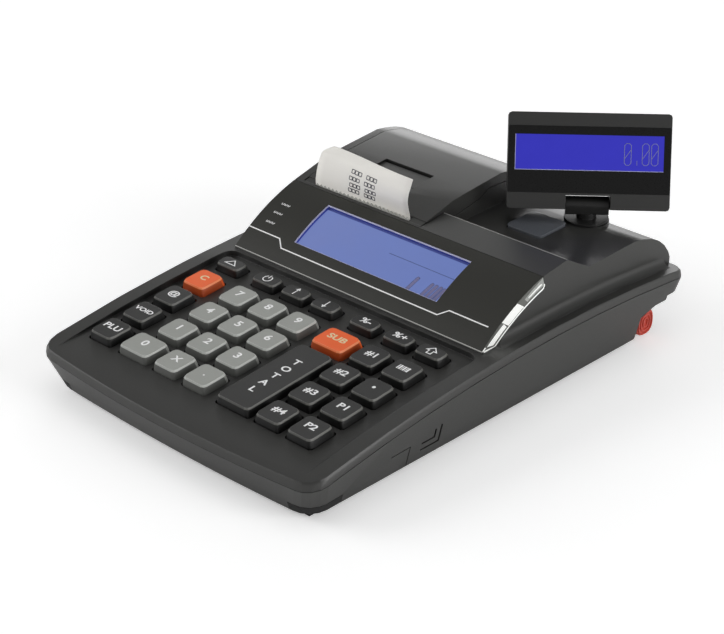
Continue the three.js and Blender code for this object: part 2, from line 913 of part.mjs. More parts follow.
function upperRim() {
  const outer = solidOf(loft([
    ring(seamOutline(0), flat(-overrun)),
    ring(seamOutline(0), seamHeight),
    ring(seamOutline(rimInset / 3), (y) => rimHeight(y) - rimEdge),
    ring(seamOutline(rimInset), rimHeight),
    ring(seamOutline(rimInset + overrun / 8), (y) => rimHeight(y) + overrun / 8),
    ring(seamOutline(rimInset + overrun / 8), flat(rimApexHeight + overrun)),
  ]));
  const band = besideCurves(rimClear(0), rimClear(rimBand - seatGap / 2), -bodyWidth, bodyWidth);
  return outer.intersect(band);
}

function hoodBody() {
  const floor = curveOver((y) => rimHeight(y) - rimBand / 2, panelFootY, bodyDepth);
  const hood = besideCurves(hoodCurve, floor, -hoodHalf, hoodHalf);
  const bulgeFloor = curveOver((y) => rimHeight(y) - rimBand / 2, panelTopY, bodyDepth);
  const bulge = besideCurves([...bulgeCurve, [bodyDepth, hoodRearHeight]], bulgeFloor, -hoodHalf, stepX);
  const turret = cylinderZ(postX, postY, turretRadius, turretHeight - spindleLength, turretHeight);
  const plan = solidOf(loft([
    ring(seamOutline(rimInset), flat(-overrun)),
    ring(seamOutline(rimInset), flat(bulgeTopHeight + overrun)),
  ]));
  return join([hood, bulge, turret]).intersect(plan);
}

// The soft fillet where the hood's side wall meets the rim; side is 1 on the right
function hoodFillet(side) {
  const section = [[-rimBand / 2, -rimBand / 2], [-rimBand / 2, hoodFilletRadius]];
  for (let i = 0; i <= cornerSegments; i += 1) {
    const angle = Math.PI / 2 * i / cornerSegments;
    section.push([
      hoodFilletRadius * (1 - Math.cos(angle)),
      hoodFilletRadius * (1 - Math.sin(angle)),
    ]);
  }
  section.push([hoodFilletRadius, -rimBand / 2]);
  if (side < 0) section.reverse();
  const stations = curveOver(rimHeight, panelFootY + hoodFilletRadius, bodyDepth - rearCornerRadius);
  return solidOf(loft(stations.map(([y, z]) => section
    .map(([dx, dz]) => new THREE.Vector3(side * (hoodHalf + dx), y, z + dz)))));
}

function wellOutline(grow) {
  const length = wellRearY - wellFrontY + grow;
  const outline = roundedRectangle(wellWidth + 2 * grow, length + grow, wellCornerRadius, cornerSegments);
  return shifted(outline, 0, wellFrontY + (length + grow) / 2 - grow);
}

function keyboardWell(grow) {
  const column = prismZ(wellOutline(grow), -overrun, rimApexHeight + overrun);
  const above = block(
    -bodyWidth,
    bodyWidth,
    -bodyDepth,
    bodyDepth,
    -keyStand - grow,
    overrun + overrun,
    deckMatrix,
  );
  return column.intersect(above);
}

function upperCavity() {
  const under = belowCurve(rimClear(housingWall), -bodyWidth, bodyWidth);
  const plan = solidOf(loft([
    ring(seamOutline(housingWall), flat(-2 * overrun)),
    ring(seamOutline(housingWall), flat(bulgeTopHeight + overrun)),
  ]));
  const room = plan.intersect(under).subtract(keyboardWell(deckWall));
  const hoodInner = [
    ...offsetPoints(panelCurve, panelThickness + seatGap + housingWall),
    ...offsetPoints(hoodCurve, housingWall).slice(panelCurve.length),
  ];
  const inside = hoodHalf - hoodSideWall;
  const hoodRoom = belowCurve(hoodInner, -inside, inside).intersect(plan);
  const printerRoom = block(
    -hoodHalf + cheekWall,
    stepX - bulgeSideWall,
    slotFrontY,
    hingeWallY,
    -overrun,
    bulgeTopHeight + overrun,
  );
  return join([room, hoodRoom, printerRoom]);
}

// The room that the panel takes from the hood, and the panel itself, end above the rim
function panelBand(grow, proud) {
  const aboveRim = aboveCurve(curveOver((y) => rimHeight(y) + seatGap - grow, 0, bodyDepth), -bodyWidth, bodyWidth);
  const curve = extended(panelCurve, grow);
  const outer = offsetPoints(curve, -proud);
  const across = hoodHalf + proud;
  const inner = hoodHalf - panelThickness - grow;
  const edge = offsetPoints(curve, panelFlange + grow);
  return join([
    besideCurves(outer, offsetPoints(curve, panelThickness + grow), -across, across),
    besideCurves(outer, edge, inner, across),
    besideCurves(outer, edge, -across, -inner),
  ]).intersect(aboveRim);
}

const lcdFront = [lcdFrontY, heightAlong(panelCurve, lcdFrontY)];
const lcdRear = [lcdRearY, heightAlong(panelCurve, lcdRearY)];
const lcdAngle = Math.atan2(lcdRear[1] - lcdFront[1], lcdRear[0] - lcdFront[0]);
const lcdLength = Math.hypot(lcdRear[0] - lcdFront[0], lcdRear[1] - lcdFront[1]);
const lcdMatrix = new THREE.Matrix4()
  .makeRotationX(lcdAngle)
  .setPosition(lcdOffset, (lcdFront[0] + lcdRear[0]) / 2, (lcdFront[1] + lcdRear[1]) / 2);
const lcdTop = -panelThickness - seatGap;

function lcdWindow() {
  return block(-lcdWidth / 2, lcdWidth / 2, -lcdLength / 2, lcdLength / 2, -overrun / 4, overrun / 4, lcdMatrix);
}

function mainLcd() {
  const [half, reach] = [lcdWidth / 2 - seatGap, lcdLength / 2 - seatGap];
  const glass = block(-half, half, -reach, reach, lcdTop - lcdThickness - seatGap, lcdTop, lcdMatrix);
  const frame = block(
    -half - lcdFrameMargin,
    half + lcdFrameMargin,
    -reach - lcdFrameMargin,
    reach + lcdFrameMargin,
    lcdTop - lcdThickness - lcdFrameThickness,
    lcdTop - lcdThickness,
    lcdMatrix,
  );
  return glass.add(frame);
}

// Everything over the printer walls is the cover's; a shelf carries its hinge
const shelfTop = hingeHeight - barrelRadius - seatGap;

function coverSpace() {
  const edge = offsetPoints(skirtCurve, seatGap);
  const [x0, x1] = [coverLeftX - seatGap, stepX + seatGap];
  const over = aboveCurve([[slotFrontY, edge[0][1]], ...edge], x0, x1);
  const behind = block(x0, x1, hingeY - barrelRadius - seatGap, bodyDepth + overrun, shelfTop, bulgeTopHeight + overrun);
  return over.add(behind);
}

function hingeLugs() {
  const height = hingeHeight - (shelfTop - barrelRadius);
  const ends = [
    [coverLeftX, coverLeftX + barrelEndInset - seatGap],
    [stepX - barrelEndInset + seatGap, stepX - bulgeSideWall / 2],
  ];
  return join(ends.map(([x0, x1]) => cylinderX(hingeY, hingeHeight, barrelRadius, x0, x1, smallRoundSegments)
    .add(block(x0, x1, hingeY - barrelRadius, hingeY, hingeHeight - height, hingeHeight))));
}

function pivotHoles() {
  return cylinderX(
    hingeY,
    hingeHeight,
    pivotRadius + seatGap,
    coverLeftX + barrelEndInset - pivotLength - seatGap,
    stepX - barrelEndInset + pivotLength + seatGap,
    smallRoundSegments,
  );
}

const badgeTilt = Math.atan2(deckRearHeight - deckFrontHeight, deckRearY - deckFrontY);
const badgeHeight = heightAlong(rearDeckCurve, badgeY);
const badgeMatrix = new THREE.Matrix4().makeRotationX(badgeTilt).setPosition(badgeX, badgeY, badgeHeight);

function badgeSolid(grow, bottom, top) {
  const side = badgeSize + 2 * grow;
  return prismZ(roundedRectangle(side, side, badgeCornerRadius, cornerSegments), bottom, top, badgeMatrix);
}

function upperHousing() {
  const outer = join([upperRim(), hoodBody(), hoodFillet(1), hoodFillet(-1)]);
  const shell = cut(outer, [keyboardWell(0), upperCavity(), coverSpace()]).add(hingeLugs());
  return cut(shell, [
    ...keys.map(keyHole),
    panelBand(seatGap, overrun / 8),
    lcdWindow(),
    pivotHoles(),
    badgeSolid(seatGap, -badgeRecess, overrun),
    cylinderZ(postX, postY, spindleRadius + runningGap, 0, overrun + overrun, smallRoundSegments),
  ]);
}

// Printer: cover with its platen, frame, head, feed gear, tear bar, roll and receipt
function gripWedge() {
  const front = heightAlong(coverCurve, gripFrontY);
  const rear = heightAlong(coverCurve, gripRearY);
  return prismX([
    [gripFrontY, front],
    [gripRearY, rear - gripDepth],
    [gripRearY, rear + overrun],
    [gripFrontY, rear + overrun],
  ], gripCentreX - gripWidth / 2, gripCentreX + gripWidth / 2);
}

const rollerLeftX = paperLeftX + paperSideGap;
const rollerRightX = paperRightX - 2 * paperSideGap;
const leftLugX = [rollerLeftX - seatGap - platenLugWall, rollerLeftX - seatGap];
const rightLugX = [rollerRightX + seatGap, rollerRightX + seatGap + platenLugWall];
const gearX = [leftLugX[0] - seatGap - gearFace, leftLugX[0] - seatGap];

function platenLugs() {
  return join([leftLugX, rightLugX].map(([x0, x1]) => {
    const plate = block(
      x0,
      x1,
      coverFrontY,
      platenY + platenLugRadius,
      platenHeight,
      heightAlong(coverCurve, platenY) - coverWall / 2,
    );
    return plate.add(cylinderX(platenY, platenHeight, platenLugRadius, x0, x1, smallRoundSegments));
  }));
}

function paperCover() {
  const outer = besideCurves(coverCurve, skirtCurve, coverLeftX, stepX);
  const roof = offsetPoints(coverCurve, coverWall);
  const pad = block(
    gripCentreX - gripWidth / 2 - coverWall,
    gripCentreX + gripWidth / 2 + coverWall,
    gripFrontY,
    gripRearY + coverWall,
    heightAlong(coverCurve, gripRearY) - gripDepth - coverWall,
    overrun + overrun,
  );
  const behindFront = block(coverLeftX, stepX, coverFrontY + coverWall, bodyDepth, -overrun, overrun + overrun);
  const hollow = belowCurve(roof, coverLeftX + coverWall, stepX - coverWall)
    .intersect(behindFront)
    .subtract(pad);
  const barrel = cylinderX(hingeY, hingeHeight, barrelRadius, coverLeftX, stepX, smallRoundSegments);
  const lugRoom = [
    [coverLeftX - overrun, coverLeftX + barrelEndInset],
    [stepX - barrelEndInset, stepX + overrun],
  ].map(([x0, x1]) => cylinderX(hingeY, hingeHeight, barrelRadius + seatGap, x0, x1));
  const pivots = cylinderX(
    hingeY,
    hingeHeight,
    pivotRadius,
    coverLeftX + barrelEndInset - pivotLength,
    stepX - barrelEndInset + pivotLength,
    smallRoundSegments,
  );
  const rollerRoom = cylinderX(platenY, platenHeight, platenRadius + runningGap, leftLugX[1], rightLugX[0]);
  const gearRoom = cylinderX(
    platenY,
    platenHeight,
    gearModule * (platenTeeth / 2 + gearTipShare) + runningGap,
    gearX[0] - runningGap,
    leftLugX[0],
  );
  const shaftHole = cylinderX(platenY, platenHeight, platenShaftRadius + seatGap, coverLeftX, stepX);
  const shell = cut(outer.subtract(hollow).add(barrel), [...lugRoom, gripWedge(), rollerRoom, gearRoom]);
  return join([shell, pivots, platenLugs()]).subtract(shaftHole);
}

function platenRoller() {
  const roller = cylinderX(platenY, platenHeight, platenRadius, rollerLeftX, rollerRightX);
  const shaft = cylinderX(platenY, platenHeight, platenShaftRadius, gearX[0], rightLugX[1], smallRoundSegments);
  return roller.add(shaft);
}

// A spur gear across X whose first tooth points along the given angle
function spurGear(teeth, bore, y, z, pointing) {
  const pitch = 2 * Math.PI / teeth;
  const radius = gearModule * teeth / 2;
  const root = radius - gearRootShare * gearModule;
  const tip = radius + gearTipShare * gearModule;
  const outline = Array.from({ length: teeth }, (_, i) => i).flatMap((i) => {
    const centre = pointing + pitch * i;
    return [
      [root, -toothRootShare],
      [tip, -toothTipShare],
      [tip, toothTipShare],
      [root, toothRootShare],
    ].map(([r, share]) => [y + r * Math.cos(centre + share * pitch), z + r * Math.sin(centre + share * pitch)]);
  });
  return prismX(outline, ...gearX)
    .subtract(cylinderX(y, z, bore + seatGap, gearX[0] - seatGap, gearX[1] + seatGap, smallRoundSegments));
}

function platenGear() {
  return spurGear(platenTeeth, platenShaftRadius, platenY, platenHeight, -Math.PI / 2);
}

function driveGear() {
  const halfTooth = Math.PI / driveTeeth;
  return spurGear(driveTeeth, driveShaftRadius, platenY, platenHeight - gearDistance, Math.PI / 2 + halfTooth);
}

// The printer frame: a trough for the roll between two side plates, with the head's shelf
const binLeftX = paperLeftX - paperSideGap;
const binRightX = paperRightX + paperSideGap;
const frameFloor = footDrop + housingWall + seatGap;

function sidePlate(x0, x1) {
  const frontY = slotFrontY - headThickness;
  return prismX([
    [frontY, frameFloor],
    [recessY - housingWall - seatGap, frameFloor],
    [recessY - housingWall - seatGap, recessLeadHeight + 2 * housingWall],
    [binY + binRadius, recessHeight + 2 * housingWall],
    [binY + binRadius, binTop - binWall],
    [binY, binTop],
    [binY - binRadius, binTop],
    [binY - binRadius, cheekTop],
    [frontY, cheekTop],
  ], x0, x1);
}

function paperBin() {
  const trough = cylinderX(binY, binHeight, binRadius + binWall, binLeftX - binSideWall, binRightX + binSideWall)
    .subtract(cylinderX(binY, binHeight, binRadius, binLeftX - overrun, binRightX + overrun))
    .subtract(block(-bodyWidth, bodyWidth, 0, bodyDepth, cheekTop, overrun + overrun));
  const shelf = block(
    binLeftX,
    binRightX,
    slotFrontY - headThickness,
    binY - binRadius,
    shelfHeight,
    shelfHeight + shelfThickness,
  );
  const shaftHole = cylinderX(
    platenY,
    platenHeight - gearDistance,
    driveShaftRadius + runningGap,
    binLeftX - overrun,
    binLeftX + seatGap,
    smallRoundSegments,
  );
  return join([
    trough,
    shelf,
    sidePlate(binLeftX - binSideWall, binLeftX),
    sidePlate(binRightX, binRightX + binSideWall),
  ]).subtract(shaftHole);
}

const receiptY = platenY - platenRadius - runningGap - paperThickness;

function printerMechanism() {
  const [x0, x1] = [paperLeftX, paperRightX];
  const bottom = shelfHeight + shelfThickness + seatGap;
  const headRear = receiptY - seatGap;
  const head = block(x0, x1, headRear - headThickness, headRear, bottom, headTop);
  const floor = block(x0, x1, headRear - headThickness, mechanismRearY, bottom, bottom + mechanismFloor);
  const motor = block(x0 + seatGap, x0 + motorWidth, headRear - seatGap, mechanismRearY, bottom, motorTop);
  const shaft = cylinderX(
    platenY,
    platenHeight - gearDistance,
    driveShaftRadius,
    gearX[0],
    x0 + motorWidth / 2,
    smallRoundSegments,
  );
  return join([head, floor, motor, shaft]);
}

function tearBar() {
  const width = paperWidth;
  const front = slotFrontY + seatGap;
  const base = headTop + seatGap;
  const valley = heightAlong(bulgeCurve, slotFrontY);
  const pitch = width / tearToothCount;
  const outline = [[paperLeftX, base], [paperLeftX + width, base]];
  for (let i = tearToothCount; i > 0; i -= 1) {
    outline.push([paperLeftX + pitch * i, valley]);
    outline.push([paperLeftX + pitch * (i - 1 / 2), valley + tearToothHeight]);
  }
  outline.push([paperLeftX, valley]);
  const shape = new THREE.Shape(outline.map(([x, z]) => new THREE.Vector2(x, z)));
  const geometry = new THREE.ExtrudeGeometry(shape, { depth: tearBarThickness, bevelEnabled: false });
  geometry.rotateX(Math.PI / 2);
  geometry.translate(0, front + tearBarThickness, 0);
  return solidOf(geometry);
}

function paperRoll() {
  const height = binHeight - binRadius + rollRadius + seatGap;
  return cylinderX(0, 0, rollRadius, -paperWidth / 2, paperWidth / 2)
    .subtract(cylinderX(0, 0, coreRadius, -paperWidth, paperWidth, smallRoundSegments))
    .translate([paperCentreX, binY, height]);
}

function receiptStrip() {
  const front = [
    [receiptY, platenHeight - receiptTail],
    ...bendPoints(
      [receiptY, platenHeight + receiptBendRise],
      [receiptY - receiptBelly, platenHeight + receiptPullRise],
      [receiptY + receiptLean, platenHeight + receiptRise],
      curveSegments / 2,
    ),
  ];
  const back = front.map(([y, z]) => [y + paperThickness, z]);
  return prismX([...front.toReversed(), ...back], paperLeftX, paperRightX);
}

// Customer display, in its own frame: x across, y away from the reader, origin on the tilt axis
const displayHalf = displayWidth / 2;
const displayTop = displayHeight - displayDrop;
const displayFront = -displayDepth / 2;
const bezelRear = displayFront + displayBezelDepth;

function displayBlock(halfWidth, y0, y1, bottom, top, radius) {
  const outline = roundedRectangle(2 * halfWidth, top - bottom, radius, keyCornerSteps);
  const shape = new THREE.Shape(shifted(outline, 0, (top + bottom) / 2).map(([x, z]) => new THREE.Vector2(x, z)));
  const geometry = new THREE.ExtrudeGeometry(shape, { depth: y1 - y0, bevelEnabled: false });
  geometry.rotateX(Math.PI / 2);
  geometry.translate(0, y1, 0);
  return solidOf(geometry);
}

function knuckleNotch() {
  const half = knuckleWidth / 2 + seatGap;
  return block(-half, half, -overrun, overrun, -overrun, knuckleRadius + seatGap);
}

function displayBezel() {
  const body = displayBlock(displayHalf, displayFront, bezelRear, -displayDrop, displayTop, displayCornerRadius);
  const opening = block(
    -displayHalf + sideBand,
    displayHalf - sideBand,
    displayFront - overrun,
    overrun,
    bottomBand - displayDrop,
    displayTop - topBand,
  );
  return cut(body, [opening, knuckleNotch()]);
}

function displayWindow() {
  const front = displayFront + windowInset;
  return block(
    -displayHalf + sideBand + seatGap,
    displayHalf - sideBand - seatGap,
    front,
    front + windowThickness,
    bottomBand - displayDrop + seatGap,
    displayTop - topBand - seatGap,
  );
}

function customerLcd() {
  const front = displayFront + windowInset + windowThickness + seatGap;
  const top = displayTop - customerLcdTopGap + customerScreenLip;
  return block(
    -customerLcdWidth / 2 - customerScreenLip,
    customerLcdWidth / 2 + customerScreenLip,
    front,
    front + customerLcdThickness,
    top - customerLcdHeight - 2 * customerScreenLip,
    top,
  );
}

function displayBack() {
  const rear = displayDepth / 2;
  const front = bezelRear + seatGap;
  const bottom = -displayDrop;
  const body = displayBlock(displayHalf, front, rear, bottom, displayTop, displayCornerRadius);
  const notchHalf = knuckleWidth / 2 + seatGap;
  const hollow = block(
    -displayHalf + displayWall,
    displayHalf - displayWall,
    front - seatGap,
    rear - displayWall,
    bottom + displayWall,
    displayTop - displayWall,
  ).subtract(block(
    -notchHalf - 2 * displayWall,
    notchHalf + 2 * displayWall,
    -overrun,
    overrun,
    -overrun,
    knuckleRadius + seatGap + displayWall,
  ));
  const pins = [-1, 1].map((side) => {
    const [a, b] = [side * (notchHalf - displayPinLength), side * (notchHalf + displayWall)];
    return cylinderX(0, 0, displayPinRadius, Math.min(a, b), Math.max(a, b), smallRoundSegments);
  });
  return cut(body, [hollow, knuckleNotch()]).add(join(pins));
}

// The post: a disc on the turret, a stem and the square-footed knuckle that the display tilts on
function displayPost() {
  const discBottom = turretHeight + seatGap;
  const disc = cylinderZ(0, 0, discRadius, discBottom, discBottom + discThickness);
  const stem = cylinderZ(0, 0, stemRadius, discBottom, tiltAxisHeight - knuckleDrop + seatGap);
  const spindle = cylinderZ(0, 0, spindleRadius, discBottom - spindleLength, discBottom + seatGap, smallRoundSegments);
  const half = knuckleWidth / 2;
  const knuckle = cylinderX(0, tiltAxisHeight, knuckleRadius, -half, half)
    .add(block(-half, half, -knuckleRadius, knuckleRadius, tiltAxisHeight - knuckleDrop, tiltAxisHeight));
  const socketDepth = displayPinLength + seatGap;
  const sockets = [[-half - seatGap, -half + socketDepth], [half - socketDepth, half + seatGap]]
    .map(([x0, x1]) => cylinderX(0, tiltAxisHeight, displayPinRadius + seatGap, x0, x1, smallRoundSegments));
  return cut(join([disc, stem, spindle, knuckle]), sockets);
}

// Assembly
const group = new THREE.Group();

function place(parent, name, shape, finish) {
  const geometry = shape instanceof THREE.BufferGeometry ? shape : geometryOf(shape);
  const mesh = new THREE.Mesh(geometry, new THREE.MeshStandardMaterial(finishes[finish]));
  mesh.name = name;
  parent.add(mesh);
  return mesh;
}

const bodyPieces = {
  lower_housing: [lowerHousing, 'housing'],
  upper_housing: [upperHousing, 'housing'],
  display_panel: [() => panelBand(0, 0), 'panel'],
  main_lcd: [mainLcd, 'lcd'],
  paper_cover: [paperCover, 'housing'],
  platen_roller: [platenRoller, 'rubber'],
  platen_gear: [platenGear, 'nylon'],
  drive_gear: [driveGear, 'nylon'],
  paper_bin: [paperBin, 'rubber'],
  printer_mechanism: [printerMechanism, 'steel'],
  tear_bar: [tearBar, 'steel'],
  paper_roll: [paperRoll, 'paper'],
  receipt_strip: [receiptStrip, 'paper'],
  badge_plate: [() => badgeSolid(0, seatGap - badgeRecess, seatGap - badgeRecess + badgeThickness), 'badge'],
  rear_seal_plug: [sealPlug, 'seal'],
  battery_door: [batteryDoor, 'housing'],
  battery_pack: [batteryPack, 'battery'],
  foot_front_right: [() => cornerFoot(1), 'rubber'],
  foot_front_left: [() => cornerFoot(-1), 'rubber'],
  foot_rear: [() => rearFoot(0), 'rubber'],
};
Object.entries(bodyPieces).forEach(([name, [make, finish]]) => place(group, name, make(), finish));

const keyboard = new THREE.Group();
keyboard.applyMatrix4(deckMatrix);
place(keyboard, 'key_mat', keyMat(), 'rubber');
place(keyboard, 'main_board', mainBoard(), 'board');
keys.forEach((key) => {
  const mesh = place(keyboard, `key_${key.name}`, keyGeometry(key), key.finish);
  mesh.position.set(key.x, key.v, 0);
});
group.add(keyboard);

const swivel = new THREE.Group();
swivel.position.set(postX, postY, 0);
swivel.rotation.z = THREE.MathUtils.degToRad(displaySwivel);
place(swivel, 'display_post', displayPost(), 'housing');
const tilt = new THREE.Group();
tilt.position.z = tiltAxisHeight;
tilt.rotation.x = -THREE.MathUtils.degToRad(displayTilt);
place(tilt, 'customer_display_front', displayBezel(), 'housing');
place(tilt, 'customer_display_window', displayWindow(), 'gloss');
place(tilt, 'customer_lcd', customerLcd(), 'blueLcd');
place(tilt, 'customer_display_back', displayBack(), 'housing');
swivel.add(tilt);
group.add(swivel);

// The origin is the middle of the footprint's box, on the surface that the feet stand on
group.updateMatrixWorld(true);
const bounds = new THREE.Box3().setFromObject(group, true);
const middle = bounds.getCenter(new THREE.Vector3());
group.position.set(-middle.x, -middle.y, -bounds.min.z);

export default group;
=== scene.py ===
# Looks of a portable ticket register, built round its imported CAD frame
import json
import math

import bpy
from mathutils import Matrix, Vector

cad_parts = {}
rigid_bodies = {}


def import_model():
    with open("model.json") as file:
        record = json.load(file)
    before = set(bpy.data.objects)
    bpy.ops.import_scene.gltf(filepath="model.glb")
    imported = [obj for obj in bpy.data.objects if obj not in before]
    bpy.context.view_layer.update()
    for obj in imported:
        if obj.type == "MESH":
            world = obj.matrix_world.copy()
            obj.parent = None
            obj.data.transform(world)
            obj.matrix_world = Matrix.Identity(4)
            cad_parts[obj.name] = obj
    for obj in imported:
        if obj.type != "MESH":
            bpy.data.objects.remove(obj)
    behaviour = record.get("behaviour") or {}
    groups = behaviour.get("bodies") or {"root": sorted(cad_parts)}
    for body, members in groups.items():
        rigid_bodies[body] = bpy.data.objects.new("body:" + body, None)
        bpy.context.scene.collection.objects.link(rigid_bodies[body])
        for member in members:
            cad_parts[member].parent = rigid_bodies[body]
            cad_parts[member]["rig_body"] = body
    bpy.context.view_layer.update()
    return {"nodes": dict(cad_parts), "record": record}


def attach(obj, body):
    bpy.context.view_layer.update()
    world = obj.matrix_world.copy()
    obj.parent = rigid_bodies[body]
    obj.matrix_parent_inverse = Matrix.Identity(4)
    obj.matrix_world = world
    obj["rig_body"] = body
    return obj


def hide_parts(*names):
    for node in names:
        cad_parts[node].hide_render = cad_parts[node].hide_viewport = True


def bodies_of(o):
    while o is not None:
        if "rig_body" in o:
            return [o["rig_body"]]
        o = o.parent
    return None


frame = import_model()

# Sizes are in millimetres, and Y counts from the front corner of the housing seam
MM = 0.001
FRONT_Y = 120.9564

# The photograph's camera
LENS = 94.5
SENSOR = 36
AZIMUTH = math.radians(44.01)
ELEVATION = math.radians(27.16)
CAMERA_PLACE = (500.72, -408.56, 390.83)
CLIP_NEAR = 0.01
CLIP_FAR = 20


def at(x, y, z):
    return Vector((x, y - FRONT_Y, z)) * MM


def make_camera():
    data = bpy.data.cameras.new("camera")
    data.lens = LENS
    data.sensor_width = SENSOR
    data.clip_start = CLIP_NEAR
    data.clip_end = CLIP_FAR
    camera = bpy.data.objects.new("camera", data)
    bpy.context.scene.collection.objects.link(camera)
    flat = math.cos(ELEVATION)
    ahead = Vector((-math.sin(AZIMUTH) * flat, math.cos(AZIMUTH) * flat, -math.sin(ELEVATION)))
    camera.location = at(*CAMERA_PLACE)
    camera.rotation_mode = "QUATERNION"
    camera.rotation_quaternion = ahead.to_track_quat("-Z", "Y")
    bpy.context.scene.camera = camera


make_camera()


# Colours
def linear(value):
    return value / 12.92 if value <= 0.04045 else ((value + 0.055) / 1.055) ** 2.4


def rgb(code):
    values = [int(code[i:i + 2], 16) / 255 for i in (1, 3, 5)]
    return (*[linear(value) for value in values], 1)


def scaled(colour, share):
    return (*[min(value * share, 1) for value in colour[:3]], 1)


# Values that the materials have in common. A value named shares holds a low and a high share
BEVEL_SAMPLES = 4
COAT_ROUGHNESS = 0.22
# Painted shade in hollows and narrow gaps: ambient occlusion samples, reach and shares
HOLLOW_SAMPLES = 6
HOLLOW_REACH = 8
HOLLOW_SHADE_SHARES = (0.45, 0.93)
EDGE_FLAT = 0.998
EDGE_TURNED = 0.9
NOISE_SHARES = (0.3, 0.7)
SLOW_GRAIN = 24
PLASTIC_SHARES = (0.93, 1.07)
KEY_SHARES = (0.95, 1.05)
KEY_GRAIN = 0.3
KEY_RELIEF = 0.01
KEY_ROUNDING = 0.12
KEY_SPREAD = 0.03
# Heights of the true normal that mark the keys' painted wall shade and the rise and fall of their painted
# bevel highlight
KEY_WALL_SHADE_SHARES = (0.2, 0.3)
KEY_HIGHLIGHT_RISING_SHARES = (0.3, 0.42)
KEY_HIGHLIGHT_FALLING_SHARES = (0.9, 0.96)
FIBRE_GRAIN = 0.5
FIBRE_STRETCH = (1, 1, 3)
FIBRE_RELIEF = 0.01
PAPER_COLOURS = ("#f8f5ee", "#fffdf8")
PAPER_ROUGHNESS = (0.75, 0.9)
STREAK_GRAIN = 0.3
STREAK_STRETCH = (0.05, 1, 1)
STREAK_SHARE = 0.85
STREAK_SPREAD = 0.15
SCREEN_GRAIN = 14
SCREEN_MOTTLE_SHARE = 1.12
SCREEN_BASE_GRAIN = 3
SCREEN_BASE_SHARES = (0.05, 0.08)
SCREEN_SPECULAR = 0.15
CLOUD_GRAIN = 2.5
CLOUD_SHARE = 0.9
CLOUD_SPREAD = 0.06
ACRYLIC_IOR = 1.49
WINDOW_LEFT = -43.9
WINDOW_RIGHT = 38.9


# Material building blocks
def new_material(name):
    material = bpy.data.materials.new(name)
    material.use_nodes = True
    tree = material.node_tree
    return material, tree, tree.nodes["Principled BSDF"]


def object_place(tree):
    return tree.nodes.new("ShaderNodeTexCoord").outputs["Object"]


def noise(tree, grain, detail=2, stretch=(1, 1, 1)):
    """Noise whose blobs are about one grain across, in millimetres"""
    mapping = tree.nodes.new("ShaderNodeMapping")
    mapping.inputs["Scale"].default_value = stretch
    tree.links.new(object_place(tree), mapping.inputs["Vector"])
    texture = tree.nodes.new("ShaderNodeTexNoise")
    texture.inputs["Scale"].default_value = 1 / (grain * MM)
    texture.inputs["Detail"].default_value = detail
    tree.links.new(mapping.outputs["Vector"], texture.inputs["Vector"])
    return texture.outputs["Fac"]


def ranged(tree, value, low, high, to_low, to_high):
    node = tree.nodes.new("ShaderNodeMapRange")
    node.inputs["From Min"].default_value = low
    node.inputs["From Max"].default_value = high
    node.inputs["To Min"].default_value = to_low
    node.inputs["To Max"].default_value = to_high
    tree.links.new(value, node.inputs["Value"])
    return node.outputs["Result"]


def mixed(tree, factor, first, second):
    node = tree.nodes.new("ShaderNodeMix")
    node.data_type = "RGBA"
    tree.links.new(factor, node.inputs["Factor"])
    for socket, colour in ((node.inputs[6], first), (node.inputs[7], second)):
        if isinstance(colour, bpy.types.NodeSocket):
            tree.links.new(colour, socket)
        else:
            socket.default_value = colour
    return node.outputs[2]


def rounded_normal(tree, radius):
    node = tree.nodes.new("ShaderNodeBevel")
    node.samples = BEVEL_SAMPLES
    node.inputs["Radius"].default_value = radius * MM
    return node.outputs["Normal"]


def edge_share(tree, rounded):
    """0 on a flat face, rising to 1 where a rounded edge turns away from it"""
    geometry = tree.nodes.new("ShaderNodeNewGeometry")
    dot = tree.nodes.new("ShaderNodeVectorMath")
    dot.operation = "DOT_PRODUCT"
    tree.links.new(geometry.outputs["True Normal"], dot.inputs[0])
    tree.links.new(rounded, dot.inputs[1])
    return ranged(tree, dot.outputs["Value"], EDGE_FLAT, EDGE_TURNED, 0, 1)


def mottled(tree, base, grain, shares):
    """A colour that drifts between two shares of itself, in blobs of the given grain"""
    low, high = shares
    return mixed(tree, noise(tree, grain), scaled(base, low), scaled(base, high))


def set_roughness(tree, shader, texture, low, high):
    """Roughness that follows a noise"""
    tree.links.new(ranged(tree, texture, *NOISE_SHARES, low, high), shader.inputs["Roughness"])


def openness(tree):
    """1 on an open face, less in a hollow or a narrow gap"""
    node = tree.nodes.new("ShaderNodeAmbientOcclusion")
    node.samples = HOLLOW_SAMPLES
    node.inputs["Distance"].default_value = HOLLOW_REACH * MM
    return node.outputs["AO"]


def bumped(tree, height, relief, normal=None):
    node = tree.nodes.new("ShaderNodeBump")
    node.inputs["Distance"].default_value = relief * MM
    tree.links.new(height, node.inputs["Height"])
    if normal is not None:
        tree.links.new(normal, node.inputs["Normal"])
    return node.outputs["Normal"]


